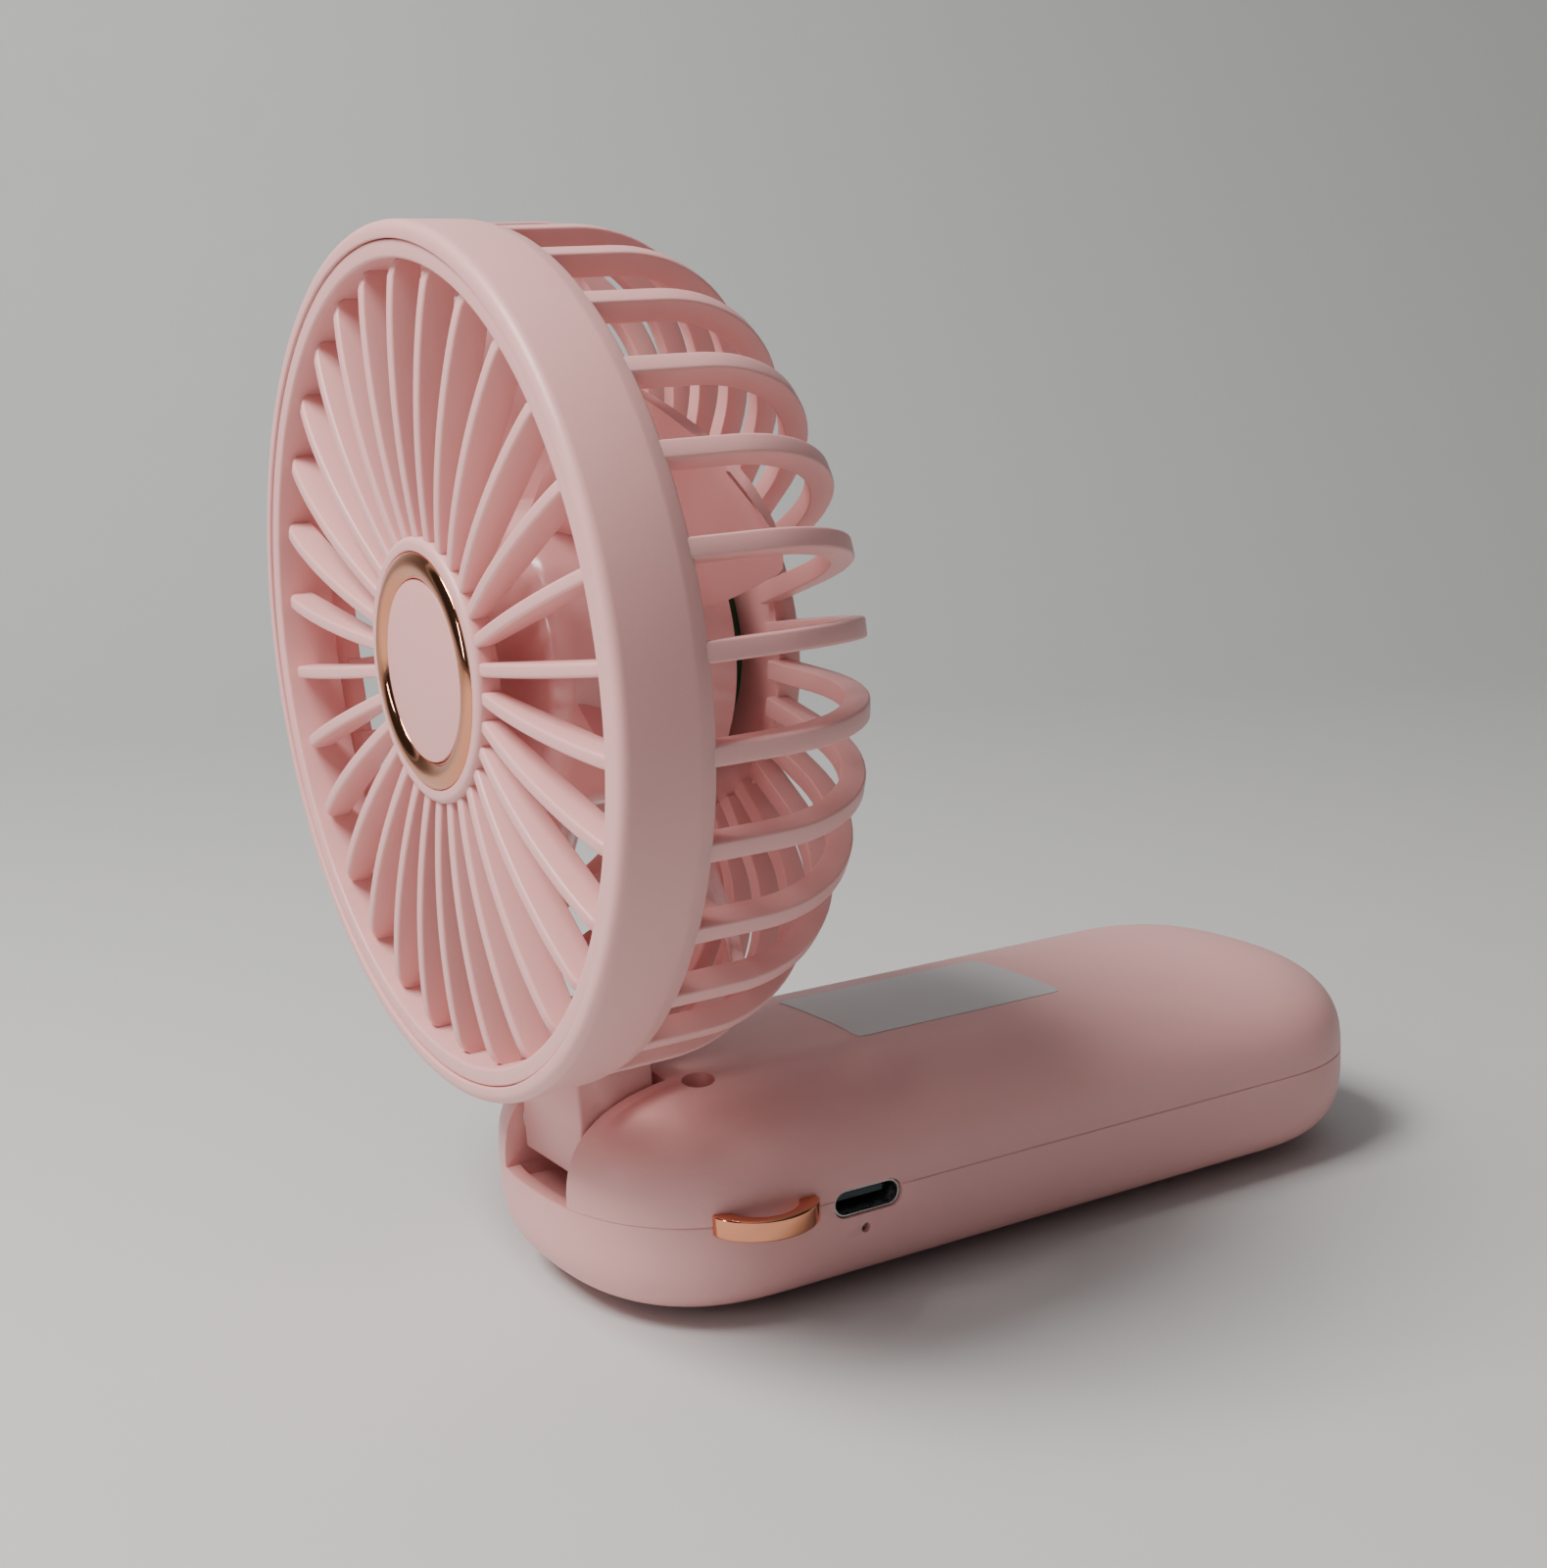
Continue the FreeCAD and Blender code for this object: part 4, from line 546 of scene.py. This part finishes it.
def make_impeller():
    """A hub with a double skirt round the motor, and its blades."""
    mesh = bmesh.new()
    hub, front, rear = IMPELLER_HUB, IMPELLER_FRONT, IMPELLER_REAR
    skirt, floor = hub - 1.6, front + 2.4
    cup_seat, cup_wall, boss, shaft = 12.0, 1.6, 2.5, 1.0
    lathe(mesh, rounded([
        (shaft, front, 0), (hub, front, 2.6), (hub, rear, 0.3), (skirt, rear, 0.2),
        (skirt, floor, 0), (cup_seat + cup_wall, floor, 0), (cup_seat + cup_wall, rear, 0.2),
        (cup_seat, rear, 0.2), (cup_seat, 13.2, 0), (boss, 13.2, 0), (boss, 11.8, 0),
        (shaft, 11.8, 0)]), 144)
    blade = blade_rings()
    for index in range(BLADE_COUNT):
        turn = Matrix.Rotation(BLADE_PHASE + 2 * math.pi * index / BLADE_COUNT, 3, "Z")
        sweep(mesh, [[turn @ point for point in ring] for ring in blade])
    finish_piece("impeller_moulding", mesh, "rotor", "impeller", HEAD)


# ---------------------------------------------------------------- handle
FAR_X, HALF_WIDTH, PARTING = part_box("front_shell")[1] / MM
HANDLE_LENGTH, END_REACH, PLAN_POWER = 114.6, 21.5, 2.47
TIP_X = FAR_X - HANDLE_LENGTH
START_X, STOP_X = TIP_X + END_REACH, FAR_X - END_REACH
WALL = 1.8
BACK_RISE, BACK_POWER, BACK_LOWEST = 12.81, 2.7, 0.03
FRONT_RISE, FRONT_POWER, FRONT_LOWEST = 13.4, 3.4, 0.4


def plan_ring(half_width, end_reach, height, end_steps=44, side_steps=14):
    """The handle's outline at one height: straight sides between superelliptic ends."""
    power = 2 / PLAN_POWER
    ring = []
    for centre, outward in ((STOP_X, 1), (START_X, -1)):
        for step in range(end_steps + 1):
            angle = math.pi / 2 - math.pi * step / end_steps
            x = centre + outward * end_reach * abs(math.cos(angle)) ** power
            share = math.copysign(abs(math.sin(angle)) ** power, math.sin(angle))
            ring.append((x, outward * half_width * share, height))
        for step in range(1, side_steps):
            x = STOP_X + (START_X - STOP_X) * step / side_steps
            ring.append((x if outward > 0 else START_X + STOP_X - x, -outward * half_width,
                         height))
    return ring


def pebble_rings(rise, power, inset, direction, lowest_share, groove):
    """Outlines from the parting plane to the crown or face of one half."""
    width, end, height = HALF_WIDTH - inset, END_REACH - inset, rise - inset
    rings = []
    if groove:
        rings.append(plan_ring(width - groove, end - groove, PARTING))
    last = math.acos(lowest_share ** (power / 2))
    steps = 22
    for step in range(steps + 1):
        angle = last * step / steps
        share = math.cos(angle) ** (2 / power)
        lift = math.sin(angle) ** (2 / power) * (height - groove) + groove
        rings.append(plan_ring(width * share, end * share, PARTING + direction * lift))
    return rings


def shell_half(rise, power, direction, lowest_share, groove=0.13):
    """A hollow half of the handle as one closed skin."""
    mesh = bmesh.new()
    outer = pebble_rings(rise, power, 0.0, direction, lowest_share, groove)
    inner = pebble_rings(rise, power, WALL, direction, lowest_share, 0.0)
    sweep(mesh, inner[::-1] + outer)
    return to_data(mesh)


def limit_solid(rise, power, direction, lowest_share):
    """A solid just inside a half's outer skin, that its inner walls and bosses stay in."""
    mesh = bmesh.new()
    sweep(mesh, pebble_rings(rise - 0.1, power, 0.1, direction, lowest_share, 0.0))
    return to_data(mesh)


def side_reach(x):
    """The handle's half width at one place along it."""
    past = max(START_X - x, x - STOP_X, 0) / END_REACH
    return HALF_WIDTH * (1 - min(past, 1) ** PLAN_POWER) ** (1 / PLAN_POWER)


def middle_of(node):
    """The middle of a node's box, in millimetres."""
    low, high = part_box(node)
    return (low + high) / 2 / MM


SLOT_HALF, SLOT_END, SLOT_FLOOR, LINER = 8.1, 7.6, 11.9, 1.6
SCREW_SPOTS = [(-35.25, -10.3), (-35.25, 10.3)]
WELL_RADIUS, WELL_FLOOR, BOSS_RADIUS = 1.9, 20.5, 2.9
SCREW_CLEARANCE, SCREW_PILOT, BUTTON_HOLE, LIGHT_HOLE = 1.15, 0.9, 5.65, 0.6
PIN_RADIUS, PIN_BOSS, PIN_REACH = 2.0, 3.6, 10.8
USB = middle_of("usb_c_shell")
USB_WIDTH, USB_HEIGHT, USB_OUT, USB_IN = 9.2, 3.3, -30, -18
PAST = 5    # how far a cutting tool runs past the skin


def make_back_shell():
    """Upper half of the handle: the neck's slot, the screw wells and the pins' bosses."""
    shape = (BACK_RISE, BACK_POWER, 1, BACK_LOWEST)
    limit = limit_solid(*shape)
    ceiling = PARTING + 20
    pin_ends = [(HINGE.x, y, HINGE.z) for y in (-PIN_REACH, PIN_REACH)]
    liner = block((TIP_X - PAST, -SLOT_HALF - LINER, PARTING),
                  (HINGE.x + SLOT_END + LINER, SLOT_HALF + LINER, ceiling))
    bosses = [rod((x, y, PARTING), (x, y, ceiling), BOSS_RADIUS) for x, y in SCREW_SPOTS]
    bosses.append(rod(*pin_ends, PIN_BOSS))
    extras = [cut_and_join(extra, limits=[limit]) for extra in [liner] + bosses]
    cutters = [block((TIP_X - PAST, -SLOT_HALF, PARTING - 1),
                     (HINGE.x + SLOT_END, SLOT_HALF, ceiling))]
    for x, y in SCREW_SPOTS:
        cutters.append(rod((x, y, WELL_FLOOR), (x, y, ceiling), WELL_RADIUS))
        cutters.append(rod((x, y, PARTING - 1), (x, y, WELL_FLOOR + 0.5),
                           SCREW_CLEARANCE, 24))
    cutters.append(rod(*pin_ends, PIN_RADIUS))
    cutters.append(slot_rod((USB.x, USB.z), USB_WIDTH, USB_HEIGHT, USB_OUT, USB_IN))
    data = cut_and_join(shell_half(*shape), joined=extras, cutters=cutters, bevel=0.2)
    finish_data("handle_back", data, "handle", "back_shell")


def make_front_shell():
    """Lower half of the handle: the slot's floor, and holes for button, light and socket."""
    shape = (FRONT_RISE, FRONT_POWER, -1, FRONT_LOWEST)
    limit = limit_solid(*shape)
    tray = cut_and_join(
        block((TIP_X - PAST, -SLOT_HALF - LINER, SLOT_FLOOR - LINER),
              (HINGE.x + SLOT_END + LINER, SLOT_HALF + LINER, PARTING)),
        cutters=[block((TIP_X - PAST - 1, -SLOT_HALF, SLOT_FLOOR),
                       (HINGE.x + SLOT_END, SLOT_HALF, PARTING + 1))])
    bosses = [rod((x, y, 0.5), (x, y, PARTING), BOSS_RADIUS) for x, y in SCREW_SPOTS]
    extras = [cut_and_join(extra, limits=[limit]) for extra in [tray] + bosses]
    button, light = middle_of("power_button"), middle_of("charge_light")
    cutters = [slot_rod((USB.x, USB.z), USB_WIDTH, USB_HEIGHT, USB_OUT, USB_IN),
               rod((button.x, 0, -1), (button.x, 0, 5), BUTTON_HOLE, 72),
               rod((light.x, USB_OUT, light.z), (light.x, USB_IN, light.z), LIGHT_HOLE, 24)]
    for x, y in SCREW_SPOTS:
        cutters.append(rod((x, y, PARTING - 6), (x, y, PARTING + 1), SCREW_PILOT, 24))
    data = cut_and_join(shell_half(*shape), joined=extras, cutters=cutters, bevel=0.15)
    finish_data("handle_front", data, "handle", "front_shell")


def make_usb_shell():
    """The socket's metal liner, as a tube with round ends."""
    low, high = (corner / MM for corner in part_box("usb_c_shell"))
    size, twice_wall = high - low, 0.6
    outer = slot_rod((USB.x, USB.z), size.x, size.z, low.y, high.y)
    bore = slot_rod((USB.x, USB.z), size.x - twice_wall, size.z - twice_wall, low.y - 1,
                    high.y - 1)
    data = cut_and_join(outer, cutters=[bore], bevel=0.08)
    finish_data("socket_shell", data, "handle", "usb_c_shell")


def arc_through(start, peak, end, steps):
    """Points on the circle through three points of the XY plane, from start to end."""
    (ax, ay), (bx, by), (cx, cy) = start, peak, end
    twice_area = 2 * (ax * (by - cy) + bx * (cy - ay) + cx * (ay - by))
    sums = [x * x + y * y for x, y in (start, peak, end)]
    ux = (sums[0] * (by - cy) + sums[1] * (cy - ay) + sums[2] * (ay - by)) / twice_area
    uy = (sums[0] * (cx - bx) + sums[1] * (ax - cx) + sums[2] * (bx - ax)) / twice_area
    radius = math.hypot(ax - ux, ay - uy)
    first = math.atan2(ay - uy, ax - ux)
    last = math.atan2(cy - uy, cx - ux)
    if first > last:
        first -= 2 * math.pi
    angles = [first + (last - first) * step / steps for step in range(steps + 1)]
    return [(ux + radius * math.cos(angle), uy + radius * math.sin(angle)) for angle in angles]


def make_lanyard_bar():
    """A flat strip bent outward, with square end posts let into the handle."""
    low, high = (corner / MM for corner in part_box("lanyard_bar"))
    height = high.z - low.z
    middle = (low.x + high.x) / 2
    left, right = -side_reach(low.x), -side_reach(high.x)
    thick, post, clear, root, steps = 1.3, 2.1, 0.7, 1.6, 30
    peak_x, peak_y = middle - 0.4, -side_reach(middle) - 3.9
    outer = arc_through((low.x, left - clear), (peak_x, peak_y), (high.x, right - clear), steps)
    inner = arc_through((low.x + post, left - clear + thick), (peak_x, peak_y + thick),
                        (high.x - post, right - clear + thick), steps)
    outer = [(low.x, left + root)] + outer + [(high.x, right + root)]
    inner = [(low.x + post, left + root)] + inner + [(high.x - post, right + root)]
    mesh = bmesh.new()
    rings = []
    for near, far in zip(outer, inner):
        start = Vector((*near, low.z))
        inward = Vector((*far, low.z)) - start
        section = rounded([(0, 0, 0.3), (inward.length, 0, 0.2),
                           (inward.length, height, 0.2), (0, height, 0.3)], 4)
        rings.append([start + inward.normalized() * x + Vector((0, 0, z))
                      for x, z in section])
    sweep(mesh, rings)
    finish_piece("lanyard_strip", mesh, "handle", "lanyard_bar", angle=50)


def crown_height(y):
    """Height of the handle's back above the table, on its straight part."""
    share = min(abs(y) / HALF_WIDTH, 1)
    return PARTING + BACK_RISE * (1 - share ** BACK_POWER) ** (1 / BACK_POWER)


def make_label():
    """A thin blank sticker with round corners that follows the handle's back."""
    low, high = (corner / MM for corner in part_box("rating_label"))
    corner, across, along = 0.8, 24, 8
    sunk, proud = -0.3, 0.09
    mesh = bmesh.new()
    shells = []
    for lift in (sunk, proud):
        rows = []
        for step in range(across + 1):
            y = low.y + (high.y - low.y) * (1 - math.cos(math.pi * step / across)) / 2
            edge = max(0.0, corner - min(y - low.y, high.y - y))
            inset = corner - math.sqrt(max(0.0, corner ** 2 - edge ** 2))
            xs = [low.x + inset + (high.x - low.x - 2 * inset) * index / along
                  for index in range(along + 1)]
            rows.append([mesh.verts.new((x, y, crown_height(y) + lift)) for x in xs])
        shells.append(rows)
    for rows in shells:
        for first, second in zip(rows, rows[1:]):
            for index in range(along):
                mesh.faces.new((first[index], first[index + 1], second[index + 1],
                                second[index]))
    rims = [rows[0] + [row[-1] for row in rows[1:]] + rows[-1][-2::-1]
            + [row[0] for row in rows[-2:0:-1]] for rows in shells]
    for index in range(len(rims[0])):
        following = (index + 1) % len(rims[0])
        mesh.faces.new((rims[0][index], rims[0][following], rims[1][following],
                        rims[1][index]))
    finish_piece("blank_sticker", mesh, "handle", "rating_label")


def make_charge_light():
    """A light guide along Y with a rounded, slightly dished front."""
    low, high = (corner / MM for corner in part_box("charge_light"))
    x, z = (low.x + high.x) / 2, (low.z + high.z) / 2
    radius = (high.x - low.x) / 2
    angles = [2 * math.pi * index / 32 for index in range(32)]
    rings = []
    for depth, share in ((0.15, 0.35), (0.05, 0.7), (0.0, 0.95), (0.1, 1.0),
                         (high.y - low.y, 1.0)):
        rings.append([(x + radius * share * math.cos(angle), low.y + depth,
                       z + radius * share * math.sin(angle)) for angle in angles])
    mesh = bmesh.new()
    sweep(mesh, rings)
    finish_piece("light_lens", mesh, "handle", "charge_light")


def make_power_button():
    """A round dished cap with a flange and a stem inside the handle."""
    low, high = (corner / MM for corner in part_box("power_button"))
    place = Matrix.Translation(((low.x + high.x) / 2, 0, 0))
    face, cap, flange, stem = low.z, 5.5, 6.6, 1.6
    flange_low, flange_high = WALL + 0.05, WALL + 1.05
    mesh = bmesh.new()
    lathe(mesh, rounded([(0, face + 0.25, 0), (4.2, face + 0.1, 3.0), (cap, face, 0.35),
                         (cap, flange_low, 0), (flange, flange_low, 0.1),
                         (flange, flange_high, 0.2), (stem, flange_high, 0),
                         (stem, high.z, 0.1), (0, high.z, 0)]), 96)
    finish_piece("button_cap", mesh, "button", "power_button", place)


# ---------------------------------------------------------------- stage
def make_stage():
    """A pale floor that curves up into a wall, far behind the fan."""
    surface("stage_paint", (0.60, 0.60, 0.595), (0.59, 0.59, 0.585), 0.8, 60, 0.02,
            patch_scale=1.2)
    mesh = bmesh.new()
    front, depth, radius, height, half = -1800.0, 420.0, 420.0, 1800.0, 2200.0
    line = [(front, 0.0), (depth, 0.0)]
    for step in range(1, 13):
        angle = math.pi / 2 * step / 12
        line.append((depth + radius * math.sin(angle), radius * (1 - math.cos(angle))))
    line.append((depth + radius, height))
    turn = Matrix.Rotation(CAMERA_YAW, 4, "Z")
    rows = [[mesh.verts.new(turn @ Vector((side * half, along, up))) for side in (-1, 1)]
            for along, up in line]
    for first, second in zip(rows, rows[1:]):
        mesh.faces.new((first[0], first[1], second[1], second[0]))
    data = bpy.data.meshes.new("stage")
    mesh.to_mesh(data)
    mesh.free()
    data.transform(Matrix.Scale(MM, 4))
    floor = bpy.data.objects.new("stage", data)
    bpy.context.scene.collection.objects.link(floor)
    data.materials.append(MATERIALS["stage_paint"])
    data.shade_smooth()


def area_light(name, place, target, size, power, colour=(1, 1, 1), size_y=None):
    """A soft rectangular light at a place in metres, turned towards a target."""
    data = bpy.data.lights.new(name, "AREA")
    data.energy = power
    data.color = colour
    data.size = size
    if size_y:
        data.shape = "RECTANGLE"
        data.size_y = size_y
    light = bpy.data.objects.new(name, data)
    light.location = Vector(place)
    light.rotation_mode = "QUATERNION"
    light.rotation_quaternion = (Vector(place) - Vector(target)).to_track_quat("Z", "Y")
    bpy.context.scene.collection.objects.link(light)


def make_world():
    """Room light from above and from the left, dim behind the viewer and on the right."""
    world = bpy.data.worlds.new("studio")
    world.use_nodes = True
    nodes, links = world.node_tree.nodes, world.node_tree.links
    place = nodes.new("ShaderNodeTexCoord")

    def brightness(direction, low, high, first, second):
        """A soft step from one value to another towards a direction in the room."""
        towards = nodes.new("ShaderNodeVectorMath")
        towards.operation = "DOT_PRODUCT"
        towards.inputs[1].default_value = Vector(direction).normalized()
        links.new(place.outputs["Generated"], towards.inputs[0])
        step = nodes.new("ShaderNodeMapRange")
        step.interpolation_type = "SMOOTHSTEP"
        step.inputs["From Min"].default_value = low
        step.inputs["From Max"].default_value = high
        step.inputs["To Min"].default_value = first
        step.inputs["To Max"].default_value = second
        links.new(towards.outputs["Value"], step.inputs["Value"])
        return step.outputs["Result"]

    product = nodes.new("ShaderNodeMath")
    product.operation = "MULTIPLY"
    links.new(brightness((-0.72, 0.3, 0.6), -0.4, 0.9, 0.03, 0.52), product.inputs[0])
    links.new(brightness((-0.93, 0.2, 0.2), 0.72, 0.84, 1.0, 0.08), product.inputs[1])
    background = nodes["Background"]
    background.inputs["Color"].default_value = (0.97, 0.985, 1.0, 1)
    links.new(product.outputs["Value"], background.inputs["Strength"])
    bpy.context.scene.world = world


def make_lights():
    """A warm key from the left, a light on the wall, and a narrow window on the far left."""
    make_world()
    aim = (-0.02, 0.0, 0.04)
    area_light("key", (-0.35, 0.0, 0.52), aim, 0.24, 4.9, colour=(1, 0.975, 0.95))
    area_light("backdrop", (-0.2, 0.5, 0.7), (-0.1, 1.0, 0.4), 0.3, 2.6)
    area_light("window", (-0.96, 0.06, 0.245), aim, 0.03, 1.0, size_y=0.28)


# ---------------------------------------------------------------- build
for make in (make_camera, make_stage, make_lights, make_rear_cage, make_front_grille,
             make_medallion, make_rear_cap, make_impeller, make_back_shell, make_front_shell,
             make_usb_shell, make_lanyard_bar, make_label, make_charge_light,
             make_power_button):
    make()

# The pieces inside stay the CAD's own objects, in their finish.
for node, thing in frame["nodes"].items():
    thing.data.materials.clear()
    thing.data.materials.append(MATERIALS[SLOT_OF[node]])
